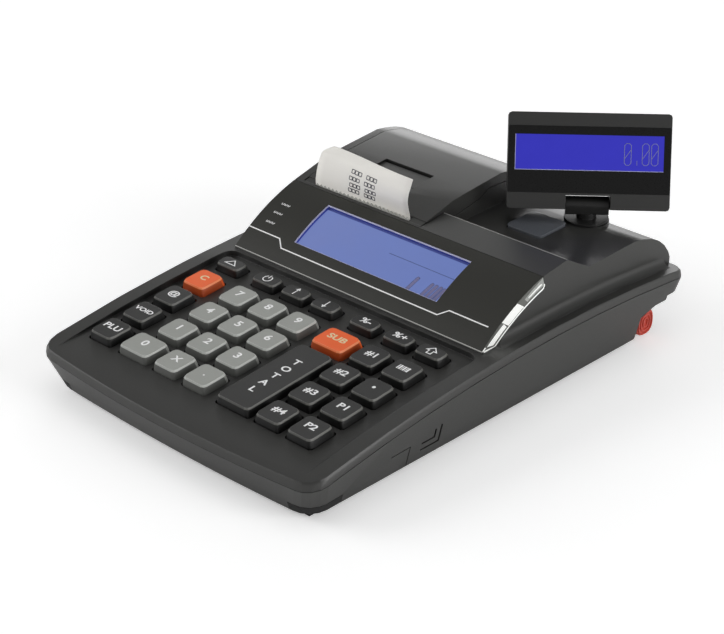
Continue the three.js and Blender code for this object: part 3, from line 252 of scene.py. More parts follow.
def plastic(
    name, colour, roughness,
    grain=0.35, relief=0.02, edge=0.35, lift=1.25, spread=0.04, specular=0.5, coat=0, hollow=1,
):
    """Moulded plastic: fine grain, slow random changes of tone, rounded edges with a painted highlight where
    they turn, and painted shade in hollows
    """
    material, tree, shader = new_material(name)
    base = rgb(colour)
    slow = mottled(tree, base, SLOW_GRAIN, PLASTIC_SHARES)
    # Painted shade: darker, down to the share hollow of the colour, where the surroundings close in
    if hollow < 1:
        open_share = ranged(tree, openness(tree), *HOLLOW_SHADE_SHARES, 0, 1)
        slow = mixed(tree, open_share, scaled(base, hollow), slow)
    rounded = rounded_normal(tree, edge)
    # Painted highlight: the colour is raised by the share lift where a rounded edge turns away
    highlighted_edges = mixed(tree, edge_share(tree, rounded), slow, scaled(base, lift))
    fine = noise(tree, grain, detail=3)
    tree.links.new(highlighted_edges, shader.inputs["Base Color"])
    set_roughness(tree, shader, fine, roughness - spread, roughness + spread)
    tree.links.new(bumped(tree, fine, relief, rounded), shader.inputs["Normal"])
    shader.inputs["Specular IOR Level"].default_value = specular
    shader.inputs["Coat Weight"].default_value = coat
    shader.inputs["Coat Roughness"].default_value = COAT_ROUGHNESS
    return material


def key_plastic(name, colour, bevel_highlight_colour, wall_shade_share, roughness=0.42):
    """Key plastic: painted shade on the walls, and a painted highlight on the narrow bevel round the top,
    where it turns away
    """
    material, tree, shader = new_material(name)
    base = rgb(colour)
    slow = mottled(tree, base, SLOW_GRAIN, KEY_SHARES)
    geometry = tree.nodes.new("ShaderNodeNewGeometry")
    split = tree.nodes.new("ShaderNodeSeparateXYZ")
    tree.links.new(geometry.outputs["True Normal"], split.inputs[0])
    # Painted shade: faces that turn sideways get only a share of the colour
    upward = ranged(tree, split.outputs["Z"], *KEY_WALL_SHADE_SHARES, 0, 1)
    slow = mixed(tree, upward, scaled(base, wall_shade_share), slow)
    # Painted highlight: the bevel between the top and the walls gets a paler colour
    rising = ranged(tree, split.outputs["Z"], *KEY_HIGHLIGHT_RISING_SHARES, 0, 1)
    falling = ranged(tree, split.outputs["Z"], *KEY_HIGHLIGHT_FALLING_SHARES, 1, 0)
    bevel_highlight_share = tree.nodes.new("ShaderNodeMath")
    bevel_highlight_share.operation = "MULTIPLY"
    tree.links.new(rising, bevel_highlight_share.inputs[0])
    tree.links.new(falling, bevel_highlight_share.inputs[1])
    tree.links.new(mixed(tree, bevel_highlight_share.outputs[0], slow, rgb(bevel_highlight_colour)), shader.inputs["Base Color"])
    fine = noise(tree, KEY_GRAIN, detail=3)
    set_roughness(tree, shader, fine, roughness - KEY_SPREAD, roughness + KEY_SPREAD)
    rounded = rounded_normal(tree, KEY_ROUNDING)
    tree.links.new(bumped(tree, fine, KEY_RELIEF, rounded), shader.inputs["Normal"])
    return material


def paper_material(name):
    material, tree, shader = new_material(name)
    fibres = noise(tree, FIBRE_GRAIN, detail=4, stretch=FIBRE_STRETCH)
    dark, pale = PAPER_COLOURS
    tree.links.new(mixed(tree, fibres, rgb(dark), rgb(pale)), shader.inputs["Base Color"])
    tree.links.new(bumped(tree, fibres, FIBRE_RELIEF), shader.inputs["Normal"])
    set_roughness(tree, shader, fibres, *PAPER_ROUGHNESS)
    return material


def metal(name, colour, roughness):
    material, tree, shader = new_material(name)
    base = rgb(colour)
    streaks = noise(tree, STREAK_GRAIN, detail=2, stretch=STREAK_STRETCH)
    tree.links.new(mixed(tree, streaks, scaled(base, STREAK_SHARE), base), shader.inputs["Base Color"])
    set_roughness(tree, shader, streaks, roughness, roughness + STREAK_SPREAD)
    shader.inputs["Metallic"].default_value = 1
    return material


def lit_screen(name, left, right, glow, roughness=0.35):
    """A backlit screen: its colour drifts across and mottles slightly"""
    material, tree, shader = new_material(name)
    split = tree.nodes.new("ShaderNodeSeparateXYZ")
    tree.links.new(object_place(tree), split.inputs[0])
    across = ranged(tree, split.outputs["X"], WINDOW_LEFT * MM, WINDOW_RIGHT * MM, 0, 1)
    drift = mixed(tree, across, rgb(left), rgb(right))
    bright = scaled(rgb(right), SCREEN_MOTTLE_SHARE)
    tree.links.new(mixed(tree, noise(tree, SCREEN_GRAIN), drift, bright), shader.inputs["Emission Color"])
    dim = mottled(tree, rgb(right), SCREEN_BASE_GRAIN, SCREEN_BASE_SHARES)
    tree.links.new(dim, shader.inputs["Base Color"])
    shader.inputs["Specular IOR Level"].default_value = SCREEN_SPECULAR
    shader.inputs["Emission Strength"].default_value = glow
    shader.inputs["Roughness"].default_value = roughness
    return material


def clear_plastic(name, colour, transmission, roughness, glow=0):
    """Acrylic with faint clouds. Its glow stands for light that it pipes to its edges"""
    material, tree, shader = new_material(name)
    base = rgb(colour)
    clouds = noise(tree, CLOUD_GRAIN)
    tree.links.new(mixed(tree, clouds, scaled(base, CLOUD_SHARE), base), shader.inputs["Base Color"])
    set_roughness(tree, shader, clouds, roughness, roughness + CLOUD_SPREAD)
    shader.inputs["Transmission Weight"].default_value = transmission
    shader.inputs["IOR"].default_value = ACRYLIC_IOR
    shader.inputs["Emission Color"].default_value = base
    shader.inputs["Emission Strength"].default_value = glow
    return material


# Each plastic's lift paints a highlight on its rounded edges; the badge's is the strongest
materials = {
    # The housing's hollow share paints shade into its hollows and gaps
    "housing": plastic("housing plastic", "#2c2c2a", 0.45, coat=0.35, hollow=0.35),
    # Key plastics: colour, colour of the painted bevel highlight, share of painted shade on the walls
    "dark_key": key_plastic("dark key plastic", "#2a2a29", "#666662", 0.12),
    "grey_key": key_plastic("grey key plastic", "#a1a39e", "#c4c6c1", 0.3),
    "orange_key": key_plastic("orange key plastic", "#fb692a", "#ff925c", 0.5),
    "panel": plastic("panel plastic", "#30302c", 0.5, relief=0.004, edge=0.15, specular=0.3),
    "main_screen": lit_screen("main screen", "#7682b8", "#6879b4", 0.92),
    "customer_screen": lit_screen("customer screen", "#2f2fac", "#3433b0", 0.95),
    "window": plastic("display window", "#0c0c0c", 0.3, relief=0.002, edge=0.15, specular=0.3),
    "paper": paper_material("till paper"),
    "rubber": plastic("rubber", "#1a1a1a", 0.75, grain=0.6, relief=0.05),
    "steel": metal("steel", "#b9bcc0", 0.3),
    "mechanism": metal("mechanism steel", "#8f9296", 0.4),
    "nylon": plastic("nylon", "#d2cfc4", 0.55),
    "bin": plastic("bin plastic", "#1c1c1c", 0.5),
    "seal": plastic("seal plastic", "#c4493a", 0.4, lift=1.3),
    "badge": plastic("badge plastic", "#55585d", 0.3, relief=0.002, edge=0.3, lift=2.2),
    "display_case": plastic("display case plastic", "#262625", 0.5, coat=0.2),
    "post": plastic("post plastic", "#141413", 0.45),
    "tear_bar": plastic("tear bar plastic", "#b9b9b4", 0.4),
    "board": plastic("board", "#1f5a36", 0.5),
    "battery": plastic("battery sleeve", "#4f6f96", 0.45),
}


def ink_and_painted_light(name, colour, roughness, specular=0.5):
    """Ink, and painted highlights and shadows with the same finish: plastic with nearly sharp edges that get
    no painted edge highlight
    """
    return plastic(name, colour, roughness, edge=0.05, lift=1, specular=specular)


white_ink = ink_and_painted_light("white ink", "#ffffff", 0.5)
edge_highlight = ink_and_painted_light("painted edge highlight", "#b0b0ac", 0.4)
pale_ink = ink_and_painted_light("pale ink", "#f0dcb0", 0.5)
grey_ink = ink_and_painted_light("grey ink", "#4d4d55", 0.6)
segment_ink = ink_and_painted_light("segment ink", "#7c7aa6", 0.4)
screen_line = ink_and_painted_light("screen line", "#4c5c8c", 0.4)
outline_ink = ink_and_painted_light("outline ink", "#7f819c", 0.4)
clear_wall = clear_plastic("clear acrylic", "#777974", 0.22, 0.12)
acrylic_highlight = clear_plastic("painted acrylic highlight", "#f4f5f2", 0.1, 0.25, glow=0.3)
grey_tab_glow = clear_plastic("grey acrylic tab glow", "#a6a8a4", 0.1, 0.25, glow=0.12)
lilac_highlight = clear_plastic("screen edge highlight", "#c3c4e6", 0.2, 0.2)
blue_wall = ink_and_painted_light("screen wall", "#3c469c", 0.3)
screen_shade = ink_and_painted_light("screen shade", "#5560a6", 0.5, specular=0.1)


# Finish of the CAD nodes
WELD = 0.001
SMOOTH_ANGLE = math.radians(31)
KEY_EDGE = 0.12
KEY_EDGE_STEPS = 2


def smoothing_group():
    """Joins split vertices and shades every edge smooth that turns less than the angle"""
    group = bpy.data.node_groups.new("smoothing", "GeometryNodeTree")
    group.interface.new_socket("Geometry", in_out="INPUT", socket_type="NodeSocketGeometry")
    group.interface.new_socket("Geometry", in_out="OUTPUT", socket_type="NodeSocketGeometry")
    nodes = group.nodes
    socket = nodes.new("NodeGroupInput").outputs[0]
    for attribute in ("custom_normal", "sharp_edge", "sharp_face"):
        removal = nodes.new("GeometryNodeRemoveAttribute")
        removal.inputs["Name"].default_value = attribute
        group.links.new(socket, removal.inputs["Geometry"])
        socket = removal.outputs["Geometry"]
    merge = nodes.new("GeometryNodeMergeByDistance")
    merge.inputs["Distance"].default_value = WELD * MM
    group.links.new(socket, merge.inputs["Geometry"])
    smooth = nodes.new("GeometryNodeSetShadeSmooth")
    group.links.new(merge.outputs["Geometry"], smooth.inputs["Geometry"])
    angle = nodes.new("GeometryNodeInputMeshEdgeAngle")
    turned = nodes.new("FunctionNodeCompare")
    turned.operation = "GREATER_THAN"
    turned.inputs["B"].default_value = SMOOTH_ANGLE
    group.links.new(angle.outputs["Unsigned Angle"], turned.inputs["A"])
    sharp = nodes.new("GeometryNodeSetShadeSmooth")
    sharp.domain = "EDGE"
    sharp.inputs["Shade Smooth"].default_value = False
    group.links.new(smooth.outputs["Geometry"], sharp.inputs["Geometry"])
    group.links.new(turned.outputs["Result"], sharp.inputs["Selection"])
    group.links.new(sharp.outputs["Geometry"], nodes.new("NodeGroupOutput").inputs[0])
    return group


smoothing = smoothing_group()


def finish_node(node, material, rounding=0):
    node.data.materials.clear()
    node.data.materials.append(material)
    modifier = node.modifiers.new("smoothing", "NODES")
    modifier.node_group = smoothing
    if rounding:
        bevel = node.modifiers.new("edges", "BEVEL")
        bevel.width = rounding * MM
        bevel.segments = KEY_EDGE_STEPS
        bevel.limit_method = "ANGLE"
        bevel.angle_limit = SMOOTH_ANGLE
    weighted = node.modifiers.new("normals", "WEIGHTED_NORMAL")
    weighted.keep_sharp = True


OWN_FINISH = {
    "display_post": "post",
    "customer_display_front": "display_case",
    "customer_display_back": "display_case",
    "tear_bar": "tear_bar",
}
for part in frame["record"]["subparts"]:
    name = part["node"]
    rounding = KEY_EDGE if name.startswith("key_") and name != "key_mat" else 0
    finish_node(frame["nodes"][name], materials[OWN_FINISH.get(name, part["material_slot"])], rounding)


def body_of(node_name):
    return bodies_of(frame["nodes"][node_name])[0]


# Mesh helpers
MITRE_SHARE = 0.3
SUNK = -0.02
PROUD = 0.06


def new_piece(name, vertices, faces, body, surfaces, faces_of=None, smooth=False):
    mesh = bpy.data.meshes.new(name)
    mesh.from_pydata(vertices, [], faces)
    mesh.validate()
    for surface in surfaces:
        mesh.materials.append(surface)
    for i, polygon in enumerate(mesh.polygons):
        polygon.use_smooth = smooth
        if faces_of is not None:
            polygon.material_index = faces_of[i]
    piece = bpy.data.objects.new(name, mesh)
    bpy.context.scene.collection.objects.link(piece)
    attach(piece, body)
    return piece


def ribbon_sides(points, width, closed):
    """Both sides of a line of even width, mitred where it bends"""
    flat = [Vector(point) for point in points]
    count = len(flat)
    sides = []
    for i, point in enumerate(flat):
        before = flat[i - 1] if closed or i else None
        after = flat[(i + 1) % count] if closed or i < count - 1 else None
        into = (point - before).normalized() if before is not None else None
        out = (after - point).normalized() if after is not None else None
        into = into if into is not None else out
        out = out if out is not None else into
        along = (into + out).normalized()
        across = Vector((-along.y, along.x))
        reach = width / 2 / max(across.dot(Vector((-into.y, into.x))), MITRE_SHARE)
        sides.append((point + across * reach, point - across * reach))
    return sides


def ribbons(name, lines, width, placed, body, slot, surface, low=SUNK, high=PROUD):
    """Thin raised lines. placed(u, v, lift) gives a place on what carries them"""
    vertices = []
    faces = []
    for points, closed in lines:
        sides = ribbon_sides(points, width, closed)
        start = len(vertices)
        for left, right in sides:
            for side in (left, right):
                vertices.extend([placed(side.x, side.y, high), placed(side.x, side.y, low)])
        steps = len(sides) if closed else len(sides) - 1
        for i in range(steps):
            a = start + 4 * i
            b = start + 4 * ((i + 1) % len(sides))
            faces.append((a, a + 2, b + 2, b))
            faces.append((a + 1, a, b, b + 1))
            faces.append((a + 2, a + 3, b + 3, b + 2))
        if not closed:
            last = start + 4 * (len(sides) - 1)
            faces.append((start, start + 1, start + 3, start + 2))
            faces.append((last, last + 2, last + 3, last + 1))
    return new_piece(name, vertices, faces, body, [surface])


def patches(name, shapes, placed, body, slot, surface, low=SUNK, high=PROUD):
    """Thin raised plates with the given outlines"""
    vertices = []
    faces = []
    for outline in shapes:
        start = len(vertices)
        count = len(outline)
        vertices.extend(placed(u, v, high) for u, v in outline)
        vertices.extend(placed(u, v, low) for u, v in outline)
        faces.append(tuple(range(start, start + count)))
        for i in range(count):
            after = (i + 1) % count
            faces.append((start + i, start + count + i, start + count + after, start + after))
    return new_piece(name, vertices, faces, body, [surface])


def slot_of(name):
    return next(part["material_slot"] for part in frame["record"]["subparts"] if part["node"] == name)


# The bulge and its lid: their walls beside the post stand as far out as in the photograph
WALL_START = 138
WALL_SHIFT = 4.9
WALL_TOLERANCE = 0.1
HOUSING_WALLS = (-1.1, -0.8)
LID_WALLS = (-1.1, -3.3)


def widened(name, piece_name, walls):
    """A copy of a node's mesh whose named wall faces stand further to the right"""
    mesh = frame["nodes"][name].data.copy()
    start = at(0, WALL_START, 0).y
    for vertex in mesh.vertices:
        x = vertex.co.x / MM
        if vertex.co.y > start and any(abs(x - wall) < WALL_TOLERANCE for wall in walls):
            vertex.co.x += WALL_SHIFT * MM
    piece = bpy.data.objects.new(piece_name, mesh)
    bpy.context.scene.collection.objects.link(piece)
    finish_node(piece, materials[slot_of(name)])
    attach(piece, body_of(name))
    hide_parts(name)


widened("upper_housing", "housing_shell", HOUSING_WALLS)
widened("paper_cover", "printer_lid", LID_WALLS)


# Fillings: the plate in the lid's finger recess, and the lips beside the paper in its slot
GRIP_LEFT = -47.2
GRIP_RIGHT = -18.2
GRIP_SLOT = 1.2
GRIP_INSET = 0.9
GRIP_THICKNESS = 1.8
GRIP_CURVE = [(158.6, 58.6), (162.3, 59.6), (173.7, 60.9)]
LIP_PROFILE = [(142.6, 54.1), (145.4, 54.9)]
LIP_THICKNESS = 3
LIP_SPANS = {"slot_lip_left": (-67.4, -61), "slot_lip_right": (-3.9, 3.5)}


def slab(name, left, right, profile, thickness, node):
    """A plate between two places across, whose top follows the profile from front to rear"""
    vertices = []
    for y, z in profile:
        for x in (left, right):
            vertices.extend([at(x, y, z), at(x, y, z - thickness)])
    last = 4 * (len(profile) - 1)
    faces = [(0, 1, 3, 2), (last, last + 2, last + 3, last + 1)]
    for a in range(0, last, 4):
        b = a + 4
        faces.append((a, a + 2, b + 2, b))
        faces.append((a + 1, b + 1, b + 3, a + 3))
        faces.append((a, b, b + 1, a + 1))
        faces.append((a + 2, a + 3, b + 3, b + 2))
    new_piece(name, vertices, faces, body_of(node), [materials[slot_of(node)]])


grip_profile = [(y, z - GRIP_INSET) for y, z in GRIP_CURVE]
slab("lid_grip_plate", GRIP_LEFT, GRIP_RIGHT - GRIP_SLOT, grip_profile, GRIP_THICKNESS, "paper_cover")
for lip, (left, right) in LIP_SPANS.items():
    slab(lip, left, right, LIP_PROFILE, LIP_THICKNESS, "upper_housing")


def split_line(points, step):
    """The same line with more points, so that it follows a curve"""
    result = []
    for a, b in zip(points, points[1:]):
        pieces = max(1, math.ceil(math.dist(a, b) / step))
        for i in range(pieces):
            result.append((a[0] + (b[0] - a[0]) * i / pieces, a[1] + (b[1] - a[1]) * i / pieces))
    return result + [points[-1]]


def rectangle(u0, u1, v0, v1):
    return [(u0, v0), (u1, v0), (u1, v1), (u0, v1)]


# Display panel
PANEL_FOOT = Vector((103.2, 33.2))
PANEL_TOP = Vector((140.6, 53.8))
PANEL_RADIUS = 98.6
PANEL_HALF = 72.2
PANEL_THICKNESS = 1.8
PANEL_STEPS = 24
FLANGE_DEPTH = 5.6
WINDOW_LOW = 12.9
WINDOW_HIGH = 36.1
WINDOW_CHAMFER = 0.45
SCREEN_DEPTH = 1.6
PANEL_LIP = 0.35

# Which of the sheet's surfaces a face has
SHEET_FACE = 0
CHAMFER_FACE = 1
WELL_FACE = 2
FOOT_FACE = 3


def panel_arc():
    chord = PANEL_TOP - PANEL_FOOT
    sag = math.sqrt(PANEL_RADIUS ** 2 - chord.length_squared / 4)
    across = Vector((chord.y, -chord.x)).normalized()
    centre = (PANEL_FOOT + PANEL_TOP) / 2 + across * sag
    start = math.atan2(PANEL_FOOT.y - centre.y, PANEL_FOOT.x - centre.x)
    end = math.atan2(PANEL_TOP.y - centre.y, PANEL_TOP.x - centre.x)
    return centre, start, (start - end) * PANEL_RADIUS


panel_centre, panel_start, panel_length = panel_arc()


def on_panel(x, s, lift=0):
    """A place x across and s up the panel's curve from its foot"""
    angle = panel_start - s / PANEL_RADIUS
    reach = PANEL_RADIUS + lift
    return at(x, panel_centre.x + reach * math.cos(angle), panel_centre.y + reach * math.sin(angle))


def beside_panel(side):
    """Places on the panel's side wall: s up the curve, depth under it, proud of the wall"""
    def placed(s, depth, lift):
        return on_panel(side * (PANEL_HALF + lift), s, -depth)
    return placed


def panel_sheet():
    """The sheet with print on it, with a chamfered opening over the screen"""
    opening_low = WINDOW_LOW - WINDOW_CHAMFER
    opening_high = WINDOW_HIGH + WINDOW_CHAMFER
    opening_left = WINDOW_LEFT - WINDOW_CHAMFER
    opening_right = WINDOW_RIGHT + WINDOW_CHAMFER
    rows = [0, PANEL_LIP]
    rows += [panel_length * i / PANEL_STEPS for i in range(1, PANEL_STEPS)]
    rows += [WINDOW_LOW, opening_low, WINDOW_HIGH, opening_high, panel_length]
    rows = sorted(set(rows))
    columns = [-PANEL_HALF, opening_left, WINDOW_LEFT, WINDOW_RIGHT, opening_right, PANEL_HALF]
    vertices = []
    for s in rows:
        for x in columns:
            inside = WINDOW_LEFT <= x <= WINDOW_RIGHT and WINDOW_LOW <= s <= WINDOW_HIGH
            vertices.append(on_panel(x, s, -WINDOW_CHAMFER if inside else 0))
    width = len(columns)
    faces = []
    kinds = []
    for i in range(len(rows) - 1):
        for j in range(width - 1):
            in_row = WINDOW_LOW <= rows[i] and rows[i + 1] <= WINDOW_HIGH
            if in_row and columns[j] == WINDOW_LEFT:
                continue
            near_row = opening_low <= rows[i] and rows[i + 1] <= opening_high
            near_column = opening_left <= columns[j] and columns[j + 1] <= opening_right
            a = i * width + j
            faces.append((a, a + 1, a + width + 1, a + width))
            kinds.append(CHAMFER_FACE if near_row and near_column else SHEET_FACE)
    rim = [k for k, s in enumerate(rows) if WINDOW_LOW <= s <= WINDOW_HIGH]
    left = columns.index(WINDOW_LEFT)
    right = columns.index(WINDOW_RIGHT)
    loop = [(WINDOW_LEFT, rows[k], k * width + left) for k in rim]
    loop += [(WINDOW_RIGHT, rows[k], k * width + right) for k in reversed(rim)]
    start = len(vertices)
    vertices.extend(on_panel(x, s, -SCREEN_DEPTH) for x, s, _ in loop)
    count = len(loop)
    for i in range(count):
        after = (i + 1) % count
        faces.append((loop[i][2], loop[after][2], start + after, start + i))
        kinds.append(WELL_FACE)
    edge = [k * width for k in range(len(rows))]
    outer = edge + [k + width - 1 for k in reversed(edge)]
    under = len(vertices)
    for k in outer:
        s = rows[k // width]
        vertices.append(vertices[k] + on_panel(0, s, -PANEL_THICKNESS) - on_panel(0, s))
    for i in range(len(outer)):
        after = (i + 1) % len(outer)
        faces.append((outer[after], outer[i], under + i, under + after))
        kinds.append(FOOT_FACE if i == len(outer) - 1 else SHEET_FACE)
    # The chamfer round the opening gets a pale painted highlight, and the sheet's foot a glowing painted
    # highlight
    surfaces = [materials["panel"], lilac_highlight, blue_wall, acrylic_highlight]
    return new_piece("panel_sheet", vertices, faces, "body", surfaces, kinds)


sheet = panel_sheet()
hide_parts("display_panel")


# Clear walls of the panel, with painted highlights on them: a bright rim, bright bars and a grey tab, whose
# glow stands for light that the acrylic pipes to its edges
WALL_LOW_START = 1
WALL_LOW_DEPTH = 1.2
WALL_LOW_END = 6.2
WALL_TOP_ROUND = 1.8
WALL_ROUND_STEPS = 3
WALL_RIM = 0.7
WALL_STEP = 2
WALL_SEAT = 0.12
WALL_LIFT = 0.02
GREY_BAR_LIFT = 0.04


def wall_outline():
    """The clear wall from the side: s up the curve and depth under it"""
    foot = [(0, WALL_SEAT), (WALL_LOW_START, WALL_LOW_DEPTH), (WALL_LOW_END, FLANGE_DEPTH)]
    centre = (panel_length - WALL_TOP_ROUND, FLANGE_DEPTH - WALL_TOP_ROUND)
    rounding = []
    for i in range(WALL_ROUND_STEPS + 1):
        angle = math.radians(90 * i / WALL_ROUND_STEPS)
        s = centre[0] + WALL_TOP_ROUND * math.sin(angle)
        rounding.append((s, centre[1] + WALL_TOP_ROUND * math.cos(angle)))
    return [*foot, *rounding, (panel_length, WALL_SEAT)]


# Corners of the painted highlight bars and of the grey tab, in the wall's own s and depth
GREY_TAB = ([(30.2, 2.1), (31.2, 4.3), (42.2, 4.2), (42.9, 3.2), (42.9, 0.4), (41.6, 0.8)],)
WALL_HIGHLIGHTS = (
    [(3.4, 1.3), (6.2, 4.2), (16.2, 4.4), (15.6, 1.8)],
    [(32.2, 2.9), (32.6, 3.5), (41.6, 3.3), (41.4, 2.5)],
    [(15.2, 0.3), (17.3, 4.9), (28.6, 4.9), (25.9, 0.3)],
    [(0.4, 0.25), (2.6, 0.25), (3, 1.1), (1.2, 1)],
)


def curved_outline(outline, side):
    """The outline with enough points to follow the panel's curve, turned to face outwards"""
    points = split_line([*outline, outline[0]], WALL_STEP)[:-1]
    return points if side > 0 else points[::-1]


def clear_walls(side):
    name = "right" if side > 0 else "left"
    placed = beside_panel(side)
    outline = curved_outline(wall_outline(), side)
    patches(f"panel_wall_{name}", [outline], placed, "body", "panel", clear_wall, -PANEL_THICKNESS, WALL_LIFT)
    # A painted highlight along the wall's outer edge
    rim = split_line(wall_outline()[1:-1], WALL_STEP)
    ribbons(f"panel_wall_rim_highlight_{name}", [(rim, False)], WALL_RIM, placed, "body", "panel", acrylic_highlight)
    bars = [curved_outline(bar, side) for bar in WALL_HIGHLIGHTS]
    patches(f"panel_wall_highlights_{name}", bars, placed, "body", "panel", acrylic_highlight)
    grey_bars = [curved_outline(bar, side) for bar in GREY_TAB]
    patches(f"panel_wall_grey_tab_{name}", grey_bars, placed, "body", "panel", grey_tab_glow, high=GREY_BAR_LIFT)


for side in (1, -1):
    clear_walls(side)

# Print on the panel: a line and status marks; and a painted highlight along its lower edge
LINE_WIDTH = 0.55
LINE_POINTS = [(-72, 11.4), (-52.6, 11.4), (-48.5, 7.5), (43.3, 7.4), (47.3, 11.1), (68.2, 11.1)]
LINE_STEP = 4
LOWER_EDGE_WIDTH = 0.4
LOWER_EDGE_PROUD = 0.04
STATUS_LEFT = -65.6
STATUS_STEP = 0.9
STATUS_COUNT = 6
STATUS_ROWS = (27.9, 22.5, 16.9)
STATUS_WIDTH = 0.35
STATUS_HEIGHT = 1
STATUS_TILT = STATUS_HEIGHT / 3


def panel_ribbons(name, points, width, ink, high=PROUD):
    ribbons(name, [(points, False)], width, on_panel, "body", "panel", ink, high=high)


panel_ribbons("panel_line", split_line(LINE_POINTS, LINE_STEP), LINE_WIDTH, white_ink)
edge_line = [(-PANEL_HALF, LOWER_EDGE_WIDTH), (PANEL_HALF, LOWER_EDGE_WIDTH)]
panel_ribbons("panel_lower_highlight", edge_line, LOWER_EDGE_WIDTH, edge_highlight, LOWER_EDGE_PROUD)


def status_marks():
    """Rows of short strokes, every second one slanted"""
    lines = []
    for row in STATUS_ROWS:
        for i in range(STATUS_COUNT):
            tilt = STATUS_TILT if i % 2 else 0
            x = STATUS_LEFT + STATUS_STEP * i
            lines.append(([(x - tilt, row - STATUS_HEIGHT / 2), (x + tilt, row + STATUS_HEIGHT / 2)], False))
    ribbons("panel_status_marks", lines, STATUS_WIDTH, on_panel, "body", "panel", white_ink)


status_marks()

# Screen under the opening, in the panel's own x and s. A segment goes from its foot to its head
SCREEN_STEPS = 12
RULE_LINE = [(1.1, 26), (37.8, 25.9)]
RULE_STEP = 4
RULE_WIDTH = 0.3
SHADE_HEIGHT = 35.6
SHADE_WIDTH = 0.9
SHADE_STEP = 8
SHADE_PROUD = 0.02
SEGMENTS = (
    ((21.2, 13.3), (22.7, 20.6)),
    ((29.4, 13.3), (30.9, 20.4)),
    ((31.8, 13.3), (33.3, 20.4)),
    ((34.2, 13.3), (35.7, 20.4)),
    ((36.3, 13.3), (37.8, 20.2)),
)
SEGMENT_WIDTH = 1.7
SEGMENT_STEP = 1.5
SEGMENT_PROUD = 0.03
SEGMENT_EDGE_WIDTH = 0.18
SEGMENT_EDGE_PROUD = 0.05
HEAD_STEPS = 6


def on_screen(x, s, lift):
    return on_panel(x, s, lift - SCREEN_DEPTH)


def screen_glass():
    """The lit glass, which follows the panel's curve"""
    vertices = []
    for i in range(SCREEN_STEPS + 1):
        s = WINDOW_LOW + (WINDOW_HIGH - WINDOW_LOW) * i / SCREEN_STEPS
        vertices.extend([on_screen(WINDOW_LEFT, s, 0), on_screen(WINDOW_RIGHT, s, 0)])
    faces = [(2 * i, 2 * i + 1, 2 * i + 3, 2 * i + 2) for i in range(SCREEN_STEPS)]
    glass = [materials["main_screen"]]
    new_piece("main_screen_glass", vertices, faces, "body", glass, smooth=True)


def bar_outline(foot, head, width):
    """A slanted bar with a rounded head"""
    along = (Vector(head) - Vector(foot)).normalized()
    across = Vector((along.y, -along.x)) * width / 2
    foot = Vector(foot)
    head = Vector(head) - along * width / 2
    top = []
    for i in range(HEAD_STEPS + 1):
        angle = math.pi * i / HEAD_STEPS
        top.append(head + across * math.cos(angle) + along * math.sin(angle) * width / 2)
    return [tuple(point) for point in (foot + across, *top, foot - across)]


def screen_ribbons(name, lines, width, ink, high):
    ribbons(name, lines, width, on_screen, "body", "main_screen", ink, 0, high)


def screen_contents():
    rule = split_line(RULE_LINE, RULE_STEP)
    screen_ribbons("screen_rule", [(rule, False)], RULE_WIDTH, screen_line, SHADE_PROUD)
    strokes = [(split_line([foot, head], SEGMENT_STEP), False) for foot, head in SEGMENTS]
    screen_ribbons("screen_segments", strokes, SEGMENT_WIDTH, segment_ink, SEGMENT_PROUD)
    edges = []
    for foot, head in SEGMENTS:
        outline = bar_outline(foot, head, SEGMENT_WIDTH)
        edges.append((split_line([*outline, outline[0]], SEGMENT_STEP)[:-1], True))
    screen_ribbons("screen_segment_edges", edges, SEGMENT_EDGE_WIDTH, screen_line, SEGMENT_EDGE_PROUD)
    # A painted shadow: a darker band that the opening's top wall casts under the screen's top edge
    shade = split_line([(WINDOW_LEFT, SHADE_HEIGHT), (WINDOW_RIGHT, SHADE_HEIGHT)], SHADE_STEP)
    screen_ribbons("screen_shade", [(shade, False)], SHADE_WIDTH, screen_shade, SHADE_PROUD)


screen_glass()
screen_contents()

# Receipt
RECEIPT_LEFT = -60.7
RECEIPT_RIGHT = -4.1
RECEIPT_COLUMNS = 14
RECEIPT_THICKNESS = 0.12
EDGE_STEPS = 4

# The paper's edges, y and z from the platen to the torn end. The left one curls back further
LEFT_EDGE = [
    (144.2, 41),
    (143.6, 49),
    (142.7, 55.8),
    (143.5, 61),
    (145.4, 66.2),
    (147.8, 69.1),
    (154.9, 69.2),
]
RIGHT_EDGE = [
    (144.2, 41),
    (144.2, 49),
    (143.7, 55.5),
    (142.2, 61.5),
    (142.4, 65.7),
    (143.8, 69.0),
    (145.3, 72.6),
]


def between(p, q, r, s, t):
    """The Catmull-Rom curve from q to r at the share t, with p and s as their neighbours"""
    square = 2 * p - 5 * q + 4 * r - s
    cube = 3 * q - p - 3 * r + s
    return (2 * q + (r - p) * t + square * t ** 2 + cube * t ** 3) / 2


def smooth_line(points, steps):
    """A Catmull-Rom curve through the points"""
    ends = [points[0], *points, points[-1]]
    curve = []
    for a, b, c, d in zip(ends, ends[1:], ends[2:], ends[3:]):
        for i in range(steps):
            t = i / steps
            curve.append(tuple(between(*values, t) for values in zip(a, b, c, d)))
    return curve + [points[-1]]


left_edge = smooth_line(LEFT_EDGE, EDGE_STEPS)
right_edge = smooth_line(RIGHT_EDGE, EDGE_STEPS)


def on_receipt(u, v, lift=0):
    """A place on the paper: share u of its width, step v up its edges"""
    i = min(int(v), len(left_edge) - 2)
    rest = v - i
    weight = u * u * (3 - 2 * u)

    def along(edge):
        return [edge[i][k] + (edge[i + 1][k] - edge[i][k]) * rest for k in (0, 1)]

    (left_y, left_z), (right_y, right_z) = along(left_edge), along(right_edge)
    x = RECEIPT_LEFT + (RECEIPT_RIGHT - RECEIPT_LEFT) * u
    y = left_y + (right_y - left_y) * weight
    z = left_z + (right_z - left_z) * weight
    return at(x, y - lift, z)


